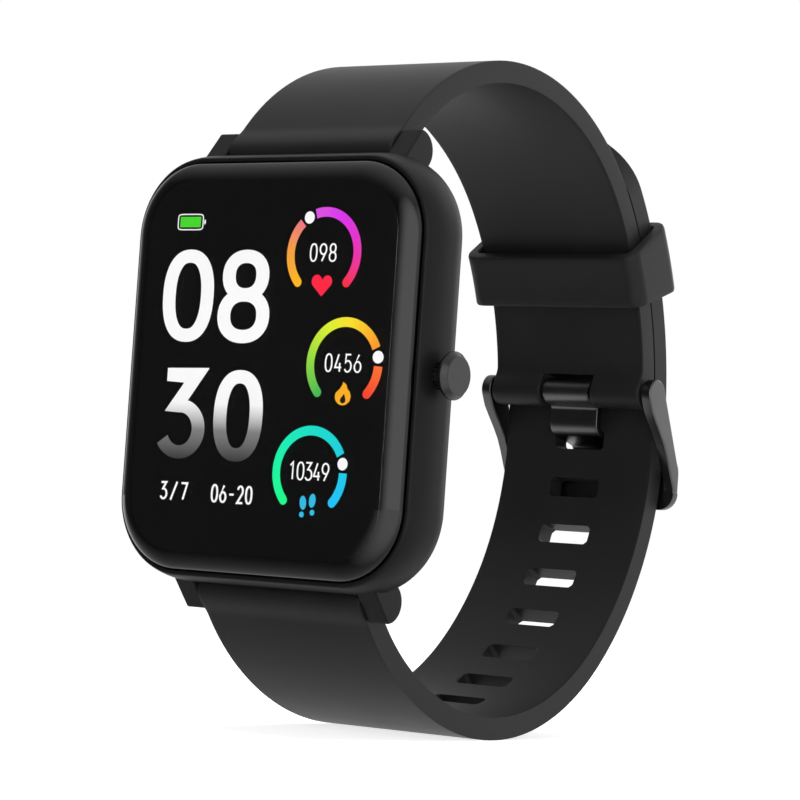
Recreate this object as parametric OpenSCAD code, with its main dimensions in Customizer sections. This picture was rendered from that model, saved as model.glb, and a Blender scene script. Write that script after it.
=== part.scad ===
// Rectangular smartwatch on a closed two-piece silicone strap.
// The display faces -Y, the crown side is +X and 12 o'clock is +Z.
// The origin is the middle of the skin side of the back cover.

/* [Case] */
// Widest point of the case, across the crown side
case_width = 39.8; // [38:0.1:42]
// Longest point of the case, from 6 to 12 o'clock
case_height = 45.8; // [44.5:0.1:49]
// Radius of the four outer corners, seen from the front
corner_radius = 9; // [7:0.5:10]
// Height of the case front edge over the back face
rim_level = 8; // [7.6:0.1:8.6]
// Height of the middle of the cover glass over the back face
glass_level = 9.9; // [9.4:0.1:10.4]
// Thickness of the back cover
cover_thickness = 1.7; // [1.5:0.1:1.9]

/* [Strap] */
// Distance between the inner faces of a pair of lugs
lug_gap = 22; // [21:0.1:23]
// Width of the strap at the lugs
strap_width = 21.8; // [20:0.1:21.8]
// Width of the strap at the buckle
strap_end_width = 20.7; // [19:0.1:20.8]
// Thickness of both straps
strap_thickness = 2.5; // [2.3:0.1:2.6]
// Distance between two neighbouring tongue slots
slot_pitch = 6; // [5.5:0.1:6.5]
// Number of tongue slots in the long strap
slot_count = 12; // [9:1:12]
// Width of a tongue slot
slot_width = 6.9; // [6.9:0.1:8]
// Height of a tongue slot
slot_height = 2.4; // [2.3:0.1:2.6]

/* [Buckle] */
// Outside width of the buckle frame
buckle_width = 24; // [23.8:0.1:25]
// Thickness of a buckle arm
arm_thickness = 1.3; // [1.2:0.1:1.4]
// Width of the tongue
tongue_width = 6.6; // [5:0.1:6.6]

/* [Crown] */
// Diameter of the crown head
crown_diameter = 5; // [4.4:0.1:5.4]

/* [Hidden] */
$fn = 64;

// Case: the thin walls around the inside, and the four screw bosses
rim_wall = 0.95;
rim_gap = 0.1;
screw_x = 14.6;
screw_y = 17.6;
boss_radius = 1.7;
boss_top = 6.2;
cavity_w = 34;
cavity_h = 40;
cavity_radius = 6.5;
ledge_level = 7.2;
glass_foot = 7.35;
glass_inset = rim_wall + 0.25;
glass_w = case_width - 2 * glass_inset;
glass_h = case_height - 2 * glass_inset;
glass_radius = corner_radius - glass_inset;
pocket_w = 35;
pocket_h = 41;
pocket_radius = 7;
pocket_level = 9;

// Back of the case: the sensor window in its middle, and the charging row below it
window_radius = 7;
charge_y = -13.4;
contact_x = 2;
contact_radius = 1;
magnet_x = 6.4;
magnet_radius = 1.5;

// Lugs and their spring bars, as [y, z] of the upper bar's axis
pin_y = -2.4;
pin_z = 23.5;
lug_radius = 2.2;
lug_thickness = 2.6;
relief_radius = 2.05;
tube_radius = 0.75;
tube_bore = 0.5;
tip_radius = 0.45;
tip_bore = 0.5;
knuckle_radius = 1.7;
fit_gap = 0.05;
lug_tip = lug_gap / 2 + 1;
lug_tube_half = lug_gap / 2 - 0.4;
pin_root = 7.6;

// Straps: each is a chain of arcs, [radius, turn], walked away from its spring bar
upper_heading = 56.5;
upper_arcs = [[25, -34.5], [27.5, -36], [28.5, -40.5], [41, -29]];
lower_heading = -59;
lower_arcs = [[26, 22.5], [30, 34.5], [28.5, 45.5], [35.2, 46], [65.1, 7]];
layer_gap = 0.2;
layer_pitch = strap_thickness + layer_gap;
tail_arcs = [for (k = [3:-1:2]) [upper_arcs[k][0] + layer_pitch, -upper_arcs[k][1]]];
long_arcs = concat(lower_arcs, tail_arcs);
upper_start = [pin_y, pin_z, upper_heading];
lower_start = [pin_y, -pin_z, lower_heading];
upper_length = total(upper_arcs);
tail_tip = 118.8;
tail_start = 70.2;
strap_step = 1.1;
first_slot = 37.5;

// Buckle: the bar's axis, the roll around it and the crossbar outside the long strap
bar_y = 49.3;
bar_z = 2.05;
roll_radius = 1.85;
barrel_radius = 1.55;
arm_eye_radius = 1.7;
notch_half = 3.6;
cross_front = 54.15;
cross_back = 55.15;
cross_low = -11.3;
cross_high = -6.6;
arm_bore_depth = 0.85;
frame_corner = 2;
buckle_inner = buckle_width / 2 - arm_thickness;
buckle_tip = buckle_inner + arm_bore_depth - 0.05;
buckle_tube_half = buckle_inner - 0.3;

// Tongue: a strip rolled around the bar, bent out through a slot and down over the crossbar
tongue_thickness = 0.8;
tongue_start = [bar_y + barrel_radius - tongue_thickness / 2 - 0.04, bar_z, -90];
tongue_arcs = [[400, -0.533], [1.1, 75.5], [400, 0.533], [1.2, -75.5], [400, -0.93]];
tongue_bends = [1, 3];
bend_steps = 5;

// Keeper: a band around both layers, concentric with the arc of the strap it sits on
keeper_start = 8.7;
keeper_length = 7;
keeper_wall = 1.3;
keeper_clear = 0.25;
keeper_slack = 0.7;
keeper_arc = upper_arcs[3];
keeper_radius = keeper_arc[0];

// Crown: axis at this height over the back face
crown_level = 4.85;
crown_face = 22.15;
crown_back = 20.85;
shaft_radius = 0.9;
neck_radius = 1.3;
bushing_radius = 1.78;
wall_bore = 1.8;
wall_step = 19.25;

// ---- the strap's centre line as [y, z, heading] ----

function arc_length(a) = a[0] * abs(a[1]) * PI / 180;
function total(arcs, i = 0) = i == len(arcs) ? 0 : arc_length(arcs[i]) + total(arcs, i + 1);
function along(state, a, d) =
  let (turn = sign(a[1]), h = state[2], g = h + turn * d / a[0] * 180 / PI)
  [state[0] + turn * a[0] * (sin(g) - sin(h)), state[1] - turn * a[0] * (cos(g) - cos(h)), g];
function walk(state, arcs, d, i = 0) =
  i == len(arcs) - 1 || d <= arc_length(arcs[i])
    ? along(state, arcs[i], d)
    : walk(along(state, arcs[i], arc_length(arcs[i])), arcs, d - arc_length(arcs[i]), i + 1);
function beside(state, off) = [state[0] + off * sin(state[2]), state[1] - off * cos(state[2])];
function band(state, arcs, from, to, right, left) =
  let (n = ceil((to - from) / strap_step))
  band_through(state, arcs, [for (k = [0:n]) from + (to - from) * k / n], right, left);
function band_through(state, arcs, stops, right, left) =
  concat(
    [for (d = stops) beside(walk(state, arcs, d), right)],
    [for (k = [len(stops) - 1:-1:0]) beside(walk(state, arcs, stops[k]), left)]
  );
function before(arcs, count, i = 0) = i == count ? 0 : arc_length(arcs[i]) + before(arcs, count, i + 1);

// ---- shared shapes ----

// Draws its children with their own z pointing to the front of the watch
module facing() {
  rotate([90, 0, 0]) children();
}

// Extrudes a [y, z] outline across the watch, from x = low to x = high
module across(low, high) {
  translate([low, 0, 0]) rotate([90, 0, 90]) linear_extrude(height = high - low) children();
}

// A round bar across the watch
module crosswise(y, z, low, high, radius) {
  translate([low, y, z]) rotate([0, 90, 0]) cylinder(h = high - low, r = radius);
}

module rounded_outline(w, h, r) {
  square([w - 2 * r, h], center = true);
  square([w, h - 2 * r], center = true);
  for (sx = [-1, 1], sy = [-1, 1]) translate([sx * (w / 2 - r), sy * (h / 2 - r)]) circle(r);
}

module slab(w, h, r, low, high) {
  translate([0, 0, low]) linear_extrude(height = high - low) rounded_outline(w, h, r);
}

// A rounded block whose side follows steps of [inset, level]
module shaped_block(w, h, r, steps) {
  first = steps[0];
  last = steps[len(steps) - 1];
  long_side = concat(
    [for (s = steps) [w / 2 - s[0], s[1]]],
    [for (k = [len(steps) - 1:-1:0]) [-w / 2 + steps[k][0], steps[k][1]]]
  );
  short_side = concat(
    [for (s = steps) [h / 2 - s[0], s[1]]],
    [for (k = [len(steps) - 1:-1:0]) [-h / 2 + steps[k][0], steps[k][1]]]
  );
  corner = concat([[0, first[1]]], [for (s = steps) [r - s[0], s[1]]], [[0, last[1]]]);
  rotate([90, 0, 0]) translate([0, 0, -(h / 2 - r)]) linear_extrude(height = h - 2 * r) polygon(long_side);
  rotate([90, 0, 90]) translate([0, 0, -(w / 2 - r)]) linear_extrude(height = w - 2 * r) polygon(short_side);
  for (k = [0:3]) {
    sx = (k == 0 || k == 3) ? 1 : -1;
    sy = k < 2 ? 1 : -1;
    translate([sx * (w / 2 - r), sy * (h / 2 - r), 0]) rotate([0, 0, 90 * k])
      rotate_extrude(angle = 90) polygon(corner);
  }
}

module ring_x(outer, inner, low, high) {
  rotate([0, 90, 0]) difference() {
    translate([0, 0, low]) cylinder(h = high - low, r = outer);
    translate([0, 0, low - 1]) cylinder(h = high - low + 2, r = inner);
  }
}

module at_screws() {
  for (sx = [-1, 1], sy = [-1, 1]) translate([sx * screw_x, sy * screw_y, 0]) children();
}

module at_pair(x, y) {
  for (sx = [-1, 1]) translate([sx * x, y, 0]) children();
}

module at_crown() {
  translate([0, -crown_level, 0]) children();
}

// ---- case ----

module lug_outline() {
  difference() {
    union() {
      translate([pin_y, pin_z]) circle(lug_radius);
      polygon([[-6.2, 19.8], [-1.9, 19.8], [-1.6, 21.1], [-0.85, 21.95], [-2.4, 23.5], [-4.4, 23.4]]);
    }
    polygon([[-6.6, 20.6], [-1.8, 26.5], [-9, 26.5], [-9, 20.6]]);
  }
}

module mid_case() {
  color([0.2, 0.2, 0.2]) difference() {
    union() {
      facing() shaped_block(case_width, case_height, corner_radius, [
        [0.8, cover_thickness], [0.35, 2.2], [0.1, 3.1], [0, 4.3], [0.05, 5.6], [0.28, 6.9], [0.65, rim_level]
      ]);
      for (sx = [0, 1], sz = [0, 1]) mirror([sx, 0, 0]) mirror([0, 0, sz])
        across(lug_gap / 2, lug_gap / 2 + lug_thickness) lug_outline();
    }
    facing() difference() {
      slab(cavity_w, cavity_h, cavity_radius, 0, rim_level + 1);
      difference() {
        union() {
          at_screws() cylinder(h = boss_top, r = boss_radius);
          for (sx = [-1, 1], sy = [-1, 1])
            translate([sx * (screw_x + 1.3), sy * (screw_y - 0.4), boss_top / 2])
            cube([2.6, 2.6, boss_top], center = true);
        }
        translate([0, 0, -1]) at_screws() cylinder(h = boss_top, r = 0.65);
      }
    }
    facing()
      slab(glass_w + 2 * rim_gap, glass_h + 2 * rim_gap, glass_radius + rim_gap, ledge_level, rim_level + 1);
    for (sz = [-1, 1]) crosswise(pin_y, sz * pin_z, -lug_gap / 2, lug_gap / 2, relief_radius);
    for (sz = [-1, 1]) crosswise(pin_y, sz * pin_z, -lug_gap / 2 - 1.1, lug_gap / 2 + 1.1, tip_bore);
    at_crown() rotate([0, 90, 0]) {
      translate([0, 0, cavity_w / 2 - 1]) cylinder(h = wall_step - cavity_w / 2 + 1, r = wall_bore);
      cylinder(h = 25, r = neck_radius + 0.12);
    }
  }
}

module cover_glass() {
  color([0.05, 0.05, 0.06, 0.9]) facing() difference() {
    shaped_block(glass_w, glass_h, glass_radius, [
      [0.1, glass_foot], [0, glass_foot + 0.3], [0, rim_level], [0.15, 8.5], [0.55, 9], [1.2, 9.38],
      [2.2, 9.67], [3.6, 9.84], [5.2, glass_level]
    ]);
    slab(pocket_w, pocket_h, pocket_radius, glass_foot - 1, pocket_level);
  }
}

module glass_adhesive() {
  color([0.1, 0.1, 0.1]) facing() difference() {
    slab(glass_w - 0.3, glass_h - 0.3, glass_radius - 0.15, ledge_level, glass_foot);
    slab(pocket_w + 0.2, pocket_h + 0.2, pocket_radius, 0, rim_level);
  }
}

module display_panel() {
  color([0.02, 0.02, 0.05]) facing() {
    slab(34.4, 40.4, 6.7, 7.75, 8.95);
    slab(16, 4, 1, 7.45, 7.75);
  }
}

module display_frame() {
  color([0.3, 0.3, 0.32]) facing() difference() {
    slab(33.6, 39.6, 6.3, 6.8, 7.4);
    slab(17, 5, 1, 6, 8);
    translate([0, -14, 0]) slab(14, 3, 1, 6, 8);
    translate([0, 0, 6]) at_screws() cylinder(h = 2, r = 0.6);
  }
}

// ---- inside the case ----

module battery() {
  color([0.75, 0.76, 0.78]) facing() translate([0, 7.4, 0]) {
    slab(26, 21, 1.6, 3.3, 6.7);
    translate([0, -10.9, 0]) slab(10, 1.2, 0.3, 4.2, 5.4);
  }
}

module main_board() {
  color([0.05, 0.3, 0.15]) facing() translate([0, -11.4, 0]) difference() {
    slab(31, 13.2, 2, 3.6, 4.4);
    for (sx = [-1, 1]) translate([sx * 13.8, 0, 3]) cylinder(h = 2, r = 0.7);
    translate([0, 11.4, 3]) at_screws() cube([5, 6, 4], center = true);
  }
}

module board_chips() {
  chips = [
    [-11, -9, 3.4, 3.4], [-6.3, -8.6, 2.4, 2.6], [-10.3, -13.6, 3, 1.8], [-6, -13.4, 2.6, 3.2],
    [11.2, -9.2, 2.2, 2.2]
  ];
  color([0.08, 0.08, 0.08]) facing() for (c = chips)
    translate([c[0], c[1], 4.4]) slab(c[2], c[3], 0.2, 0, 0.9);
  color([0.9, 0.88, 0.8]) facing() translate([10.4, -13.4, 4.4]) slab(3.2, 1.8, 0.2, 0, 1.1);
}

module board_shield() {
  color([0.7, 0.7, 0.72]) facing() translate([2.5, -11.4, 0]) difference() {
    slab(11.5, 9.5, 0.8, 4.4, 5.9);
    slab(11.1, 9.1, 0.6, 4, 5.7);
  }
}

module vibration_motor() {
  color([0.8, 0.8, 0.8]) facing() translate([-10.4, -11.6, 1.85]) {
    cylinder(h = 1.6, r = 4);
    translate([3.8, -0.6, 0.3]) cube([1.4, 1.2, 0.6]);
  }
}

module sensor_board() {
  color([0.05, 0.3, 0.15]) facing() translate([0, 0, 2.6]) cylinder(h = 0.5, r = 6.4);
}

module sensor_emitters() {
  color([0.85, 0.9, 0.8]) facing() {
    for (k = [0:1]) translate([0, k == 0 ? 3.2 : -3.2, 1.75]) slab(1.6, 1.6, 0.2, 0, 0.85);
    slab(2.8, 2.4, 0.2, 1.75, 2.6);
  }
}

module sensor_window() {
  color([0.06, 0.06, 0.07]) facing() {
    translate([0, 0, -0.7]) rotate_extrude() polygon([
      [0, 0], [2.5, 0.03], [4.4, 0.14], [5.8, 0.34], [6.6, 0.56], [window_radius, 0.8], [window_radius, 1.75],
      [window_radius + 0.8, 1.75], [window_radius + 0.8, 2.25], [0, 2.25]
    ]);
  }
}

module back_cover() {
  color([0.16, 0.16, 0.17]) facing() difference() {
    union() {
      shaped_block(36.6, 42.6, 8, [[2.2, 0], [1.2, 0.18], [0.45, 0.65], [0, 1.35], [0, cover_thickness]]);
      difference() {
        slab(cavity_w - 0.3, cavity_h - 0.3, cavity_radius - 0.15, 1.6, 2.4);
        slab(cavity_w - 2.4, cavity_h - 2.4, cavity_radius - 1.2, 1, 3);
        translate([0, 0, 1]) at_screws() cylinder(h = 3, r = boss_radius + 0.3);
        for (sx = [-1, 1], sy = [-1, 1])
          translate([sx * 16.4, sy * 18.4, 2.35]) cube([6, 6, 1.3], center = true);
      }
    }
    translate([0, 0, -1]) cylinder(h = 3, r = window_radius + fit_gap);
    translate([0, 0, 1]) cylinder(h = 2, r = window_radius + 0.9);
    translate([0, 0, -1]) at_screws() {
      cylinder(h = 3, r = 0.75);
      cylinder(h = 1.7, r = 1.35);
    }
    translate([0, 0, -1]) at_pair(contact_x, charge_y) cylinder(h = 3, r = contact_radius + fit_gap);
    translate([0, 0, 0.5]) at_pair(magnet_x, charge_y) cylinder(h = 2, r = magnet_radius + fit_gap);
  }
}

module back_seal() {
  color([0.05, 0.05, 0.05]) facing() difference() {
    slab(cavity_w - 2.6, cavity_h - 2.6, cavity_radius - 1.3, cover_thickness + 0.02, 2.3);
    slab(cavity_w - 3.8, cavity_h - 3.8, cavity_radius - 1.9, 1, 3);
    translate([0, 0, 1]) at_screws() cylinder(h = 3, r = boss_radius + 0.3);
  }
}

module back_screws() {
  color([0.35, 0.35, 0.36]) facing() at_screws() difference() {
    union() {
      translate([0, 0, 0.1]) cylinder(h = 0.6, r = 1.25);
      translate([0, 0, 0.6]) cylinder(h = 3.6, r = 0.6);
    }
    translate([0, 0, -0.1]) cylinder(h = 0.5, r = 0.5, $fn = 6);
  }
}

module charge_contacts() {
  color([0.85, 0.7, 0.35]) facing() at_pair(contact_x, charge_y) {
    cylinder(h = 1.9, r = contact_radius);
    translate([0, 0, 1.9]) cylinder(h = 1.65, r = 0.5);
  }
}

module charge_magnets() {
  color([0.75, 0.75, 0.77]) facing() translate([0, 0, 0.5]) at_pair(magnet_x, charge_y)
    cylinder(h = 1.2, r = magnet_radius);
}

// ---- crown ----

module side_switch() {
  color([0.8, 0.8, 0.8]) at_crown() {
    translate([14, -1.3, -2.2]) cube([1.1, 2.6, 4.4]);
    rotate([0, 90, 0]) translate([0, 0, 15.1]) cylinder(h = 0.6, r = 0.7);
  }
}

module crown_bushing() {
  color([0.6, 0.6, 0.62]) at_crown() ring_x(bushing_radius, shaft_radius + fit_gap, 17.05, 18.25);
}

module crown_seal() {
  color([0.05, 0.05, 0.05]) at_crown() ring_x(bushing_radius - 0.03, shaft_radius + 0.04, 18.27, 18.5);
}

module crown_clip() {
  color([0.6, 0.6, 0.62]) at_crown() ring_x(1.5, shaft_radius - 0.2 + fit_gap, 16.62, 16.92);
}

module crown_shaft() {
  color([0.5, 0.5, 0.52]) at_crown() rotate([0, 90, 0]) difference() {
    union() {
      translate([0, 0, 16.2]) cylinder(h = 3, r = shaft_radius);
      translate([0, 0, 19.2]) cylinder(h = 1.9, r = 0.6);
    }
    difference() {
      translate([0, 0, 16.58]) cylinder(h = 0.38, r = 2);
      translate([0, 0, 16.5]) cylinder(h = 0.6, r = shaft_radius - 0.2);
    }
  }
}

module crown_head() {
  color([0.25, 0.25, 0.25]) at_crown() rotate([0, 90, 0]) difference() {
    rotate_extrude() polygon([
      [0, 19.22], [neck_radius, 19.22], [neck_radius, crown_back], [crown_diameter / 2 - 0.2, crown_back],
      [crown_diameter / 2, crown_back + 0.2], [crown_diameter / 2, crown_face - 0.55],
      [crown_diameter / 2 - 0.5, crown_face], [0, crown_face]
    ]);
    translate([0, 0, 19]) cylinder(h = 2.12, r = 0.6);
  }
}

// ---- spring bars: half is the distance from the middle to a pin's tip ----

module bar_tube(y, z, half) {
  color([0.62, 0.62, 0.64]) difference() {
    crosswise(y, z, -half, half, tube_radius);
    crosswise(y, z, -half - 1, half + 1, tube_bore);
  }
}

module bar_pin(y, z, low, high) {
  color([0.7, 0.7, 0.72]) crosswise(y, z, low, high, tip_radius);
}

module bar_spring(y, z, half) {
  turns = 12;
  color([0.6, 0.6, 0.6]) for (k = [0:turns - 1]) translate([-half + (k + 0.5) * 2 * half / turns, y, z])
    rotate([0, 90, 0]) rotate_extrude() translate([0.33, 0]) circle(r = 0.09, $fn = 16);
}

module upper_bar_tube() { bar_tube(pin_y, pin_z, lug_tube_half); }
module upper_bar_pin_left() { bar_pin(pin_y, pin_z, -lug_tip, -pin_root); }
module upper_bar_pin_right() { bar_pin(pin_y, pin_z, pin_root, lug_tip); }
module upper_bar_spring() { bar_spring(pin_y, pin_z, pin_root - 0.1); }
module lower_bar_tube() { bar_tube(pin_y, -pin_z, lug_tube_half); }
module lower_bar_pin_left() { bar_pin(pin_y, -pin_z, -lug_tip, -pin_root); }
module lower_bar_pin_right() { bar_pin(pin_y, -pin_z, pin_root, lug_tip); }
module lower_bar_spring() { bar_spring(pin_y, -pin_z, pin_root - 0.1); }
module buckle_bar_tube() { bar_tube(bar_y, bar_z, buckle_tube_half); }
module buckle_bar_pin_left() { bar_pin(bar_y, bar_z, -buckle_tip, -pin_root); }
module buckle_bar_pin_right() { bar_pin(bar_y, bar_z, pin_root, buckle_tip); }
module buckle_bar_spring() { bar_spring(bar_y, bar_z, pin_root - 0.1); }

// ---- straps ----

// The wedge that narrows both straps from the lugs to the buckle
module strap_plan() {
  translate([0, 0, -60]) linear_extrude(height = 120) polygon([
    [-strap_width / 2, -6], [strap_width / 2, -6], [strap_width / 2, pin_y + 2],
    [strap_end_width / 2, bar_y], [strap_end_width / 2, 60], [-strap_end_width / 2, 60],
    [-strap_end_width / 2, bar_y], [-strap_width / 2, pin_y + 2]
  ]);
}

module strap_layer(state, arcs, from, to) {
  half = strap_thickness / 2;
  across(-strap_width / 2, strap_width / 2) polygon(band(state, arcs, from, to, half, -half));
}

// Puts its children at a distance along a strap, x across, y along and z through it
module on_strap(state, arcs, d) {
  p = walk(state, arcs, d);
  translate([0, p[0], p[1]]) rotate([p[2], 0, 0]) children();
}

module slots(from, to) {
  for (k = [0:slot_count - 1]) {
    d = first_slot + k * slot_pitch;
    if (d > from && d < to) on_strap(lower_start, long_arcs, d)
      translate([0, 0, -strap_thickness]) linear_extrude(height = 2 * strap_thickness)
        rounded_outline(slot_width, slot_height, 0.5);
  }
}

module upper_strap() {
  color([0.15, 0.15, 0.15]) difference() {
    intersection() {
      union() {
        strap_layer(upper_start, upper_arcs, 0.2, upper_length);
        crosswise(pin_y, pin_z, -strap_width / 2, strap_width / 2, knuckle_radius);
        crosswise(bar_y, bar_z, -strap_width / 2, strap_width / 2, roll_radius);
      }
      strap_plan();
    }
    crosswise(pin_y, pin_z, -20, 20, tube_radius + fit_gap);
    crosswise(bar_y, bar_z, -20, 20, tube_radius + fit_gap);
    crosswise(bar_y, bar_z, -notch_half, notch_half, roll_radius + 0.25);
    across(-notch_half, notch_half) polygon([
      [bar_y + 0.6, bar_z - 4], [bar_y + 4, bar_z - 4], [bar_y + 4, bar_z], [bar_y + 0.6, bar_z]
    ]);
  }
}

module lower_strap() {
  color([0.15, 0.15, 0.15]) difference() {
    intersection() {
      union() {
        strap_layer(lower_start, long_arcs, 0.2, tail_start);
        crosswise(pin_y, -pin_z, -strap_width / 2, strap_width / 2, knuckle_radius);
      }
      strap_plan();
    }
    crosswise(pin_y, -pin_z, -20, 20, tube_radius + fit_gap);
    slots(0, tail_start);
  }
}

module strap_tail() {
  tip_radius_plan = 9;
  color([0.15, 0.15, 0.15]) difference() {
    intersection() {
      strap_layer(lower_start, long_arcs, tail_start, tail_tip);
      strap_plan();
      union() {
        // full width up to the middle of the tip's outline, whose sides are straight there
        translate([-15, 10, -56]) cube([30, 60, 56 + walk(lower_start, long_arcs, tail_tip - 12)[1]]);
        on_strap(lower_start, long_arcs, tail_tip - 12) translate([0, 0, -8])
          linear_extrude(height = 16)
            rounded_outline(strap_end_width + 1, 24, tip_radius_plan);
      }
    }
    slots(tail_start, tail_tip);
  }
}

module keeper_loop() {
  // the centre of the arc lies on the wrist side of the strap
  middle = walk(upper_start, upper_arcs, upper_length);
  centre = beside(middle, keeper_radius);
  inner = keeper_radius - strap_thickness / 2 - keeper_clear - keeper_slack;
  outer = keeper_radius + strap_thickness / 2 + layer_pitch + keeper_clear;
  half = strap_end_width / 2 + keeper_clear + 0.1;
  sweep = keeper_length / keeper_radius * 180 / PI;
  start = middle[2] + 90 + keeper_start / keeper_radius * 180 / PI;
  color([0.14, 0.14, 0.14]) translate([0, centre[0], centre[1]]) rotate([90, 0, 90])
    rotate_extrude(angle = sweep, start = start, $fn = 128) translate([(inner + outer) / 2, 0]) difference() {
      rounded_outline(outer - inner + 2 * keeper_wall, 2 * (half + keeper_wall), 1.5);
      rounded_outline(outer - inner, 2 * half, 0.5);
    }
}

// ---- buckle ----

module arm_outline() {
  translate([bar_y, bar_z]) circle(arm_eye_radius);
  polygon([
    [bar_y - 1.5, bar_z - 0.8], [bar_y + 0.15, bar_z - 3.3], [bar_y + 2.3, bar_z - 5.9],
    [bar_y + 3.8, bar_z - 8.8], [cross_front, cross_high - 2.2], [cross_front, cross_low],
    [cross_back, cross_low], [cross_back, cross_high + 0.5], [bar_y + 1.65, bar_z + 0.4], [bar_y, bar_z]
  ]);
}

module buckle_frame() {
  w = buckle_width;
  color([0.4, 0.4, 0.41]) difference() {
    intersection() {
      union() {
        across(-w / 2, -w / 2 + arm_thickness) arm_outline();
        across(w / 2 - arm_thickness, w / 2) arm_outline();
        across(-w / 2, w / 2) translate([cross_front, cross_low])
          square([cross_back - cross_front, cross_high - cross_low]);
      }
      translate([0, 60, cross_low + 15]) rotate([90, 0, 0]) linear_extrude(height = 20)
        rounded_outline(w, 30, frame_corner);
    }
    crosswise(bar_y, bar_z, -buckle_inner - arm_bore_depth, buckle_inner + arm_bore_depth, tip_bore);
  }
}

module buckle_tongue() {
  half = tongue_thickness / 2;
  stops = concat(
    [0],
    [for (b = tongue_bends, k = [0:bend_steps])
      before(tongue_arcs, b) + arc_length(tongue_arcs[b]) * k / bend_steps],
    [total(tongue_arcs)]
  );
  color([0.32, 0.32, 0.33]) difference() {
    union() {
      crosswise(bar_y, bar_z, -tongue_width / 2, tongue_width / 2, barrel_radius);
      across(-tongue_width / 2, tongue_width / 2)
        polygon(band_through(tongue_start, tongue_arcs, stops, half, -half));
    }
    crosswise(bar_y, bar_z, -20, 20, tube_radius + fit_gap);
  }
}

mid_case();
cover_glass();
glass_adhesive();
display_panel();
display_frame();
battery();
main_board();
board_chips();
board_shield();
vibration_motor();
sensor_board();
sensor_emitters();
sensor_window();
back_cover();
back_seal();
back_screws();
charge_contacts();
charge_magnets();
side_switch();
crown_bushing();
crown_seal();
crown_clip();
crown_shaft();
crown_head();
upper_bar_tube();
upper_bar_pin_left();
upper_bar_pin_right();
upper_bar_spring();
lower_bar_tube();
lower_bar_pin_left();
lower_bar_pin_right();
lower_bar_spring();
upper_strap();
keeper_loop();
buckle_frame();
buckle_tongue();
buckle_bar_tube();
buckle_bar_pin_left();
buckle_bar_pin_right();
buckle_bar_spring();
lower_strap();
strap_tail();
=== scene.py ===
"""Looks of a rectangular smartwatch on a closed two-piece silicone strap.

The display faces -Y, the crown is on +X and 12 o'clock is +Z. Shapes are drawn in millimetres and scaled to
metres when a piece is finished. The origin is the middle of the skin side of the back cover.
"""

import logging
import math
from dataclasses import dataclass
from enum import Enum
from typing import Callable, Iterable, Sequence

import bmesh
import bpy
from mathutils import Matrix, Vector

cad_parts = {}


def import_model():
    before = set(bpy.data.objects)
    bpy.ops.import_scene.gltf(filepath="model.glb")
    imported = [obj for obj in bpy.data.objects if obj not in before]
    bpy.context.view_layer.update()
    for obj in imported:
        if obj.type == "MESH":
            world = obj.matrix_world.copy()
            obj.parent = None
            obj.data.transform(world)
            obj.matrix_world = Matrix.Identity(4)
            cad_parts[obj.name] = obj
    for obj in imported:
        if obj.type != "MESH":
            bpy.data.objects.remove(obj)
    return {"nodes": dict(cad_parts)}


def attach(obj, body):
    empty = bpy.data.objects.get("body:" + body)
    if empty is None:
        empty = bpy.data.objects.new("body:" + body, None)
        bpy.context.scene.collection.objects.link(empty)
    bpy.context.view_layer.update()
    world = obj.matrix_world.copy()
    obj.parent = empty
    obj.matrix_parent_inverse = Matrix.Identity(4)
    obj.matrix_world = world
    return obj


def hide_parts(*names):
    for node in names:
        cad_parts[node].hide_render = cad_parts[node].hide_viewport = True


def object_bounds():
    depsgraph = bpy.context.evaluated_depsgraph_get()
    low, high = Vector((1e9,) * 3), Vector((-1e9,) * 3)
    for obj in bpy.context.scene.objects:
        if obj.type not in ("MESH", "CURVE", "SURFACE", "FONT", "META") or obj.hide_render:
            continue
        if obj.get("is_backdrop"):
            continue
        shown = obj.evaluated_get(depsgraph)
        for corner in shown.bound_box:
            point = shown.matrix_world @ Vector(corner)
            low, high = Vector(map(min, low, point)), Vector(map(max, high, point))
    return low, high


MM = 0.001
WELD = 0.0005  # verts closer than this are joined
LIT = 1.06  # strength of the display's lit parts
IOR = 1.5
LOG = logging.getLogger("watch")

Colour = tuple[float, float, float]
Point = tuple[float, float]
Point3 = tuple[float, float, float]


# ---- finishes ----


def add_node(
    tree: bpy.types.NodeTree, kind: str, inputs: dict[str | int, object], **settings: object
) -> bpy.types.Node:
    """Adds a shader node.

    Args:
        tree: The node tree.
        kind: Its type, without ShaderNode.
        inputs: A value, or a socket that drives it, for each of its inputs.
        settings: Its other settings.

    Returns:
        The node.
    """
    made = tree.nodes.new("ShaderNode" + kind)
    for name, value in settings.items():
        setattr(made, name, value)
    for name, value in inputs.items():
        if isinstance(value, bpy.types.NodeSocket):
            tree.links.new(value, made.inputs[name])
        else:
            made.inputs[name].default_value = value
    return made


def new_material(name: str) -> tuple[bpy.types.Material, bpy.types.NodeTree, bpy.types.Node]:
    """Adds a material.

    Args:
        name: Its name.

    Returns:
        The material, its node tree and its shader.
    """
    made = bpy.data.materials.new(name)
    made.use_nodes = True
    return made, made.node_tree, made.node_tree.nodes["Principled BSDF"]


class Grain(Enum):
    """The surface texture of a finish."""

    BLASTED = "fine even bead-blast"
    SILICONE = "soft moulded silicone"
    BRUSHED = "lines along the width of the watch"
    POLISHED = "smooth, with faint wiping marks"


@dataclass(frozen=True)
class Weave:
    """How a grain is drawn: noise scales per metre, and how much of it shows.

    Args:
        scale: Noise scale in each direction.
        relief: Strength of the bump.
        depth: Height of the bump in metres.
        patch_scale: Scale of the slow unevenness.
    """

    scale: tuple[float, float, float]
    relief: float
    depth: float
    patch_scale: float


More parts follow.
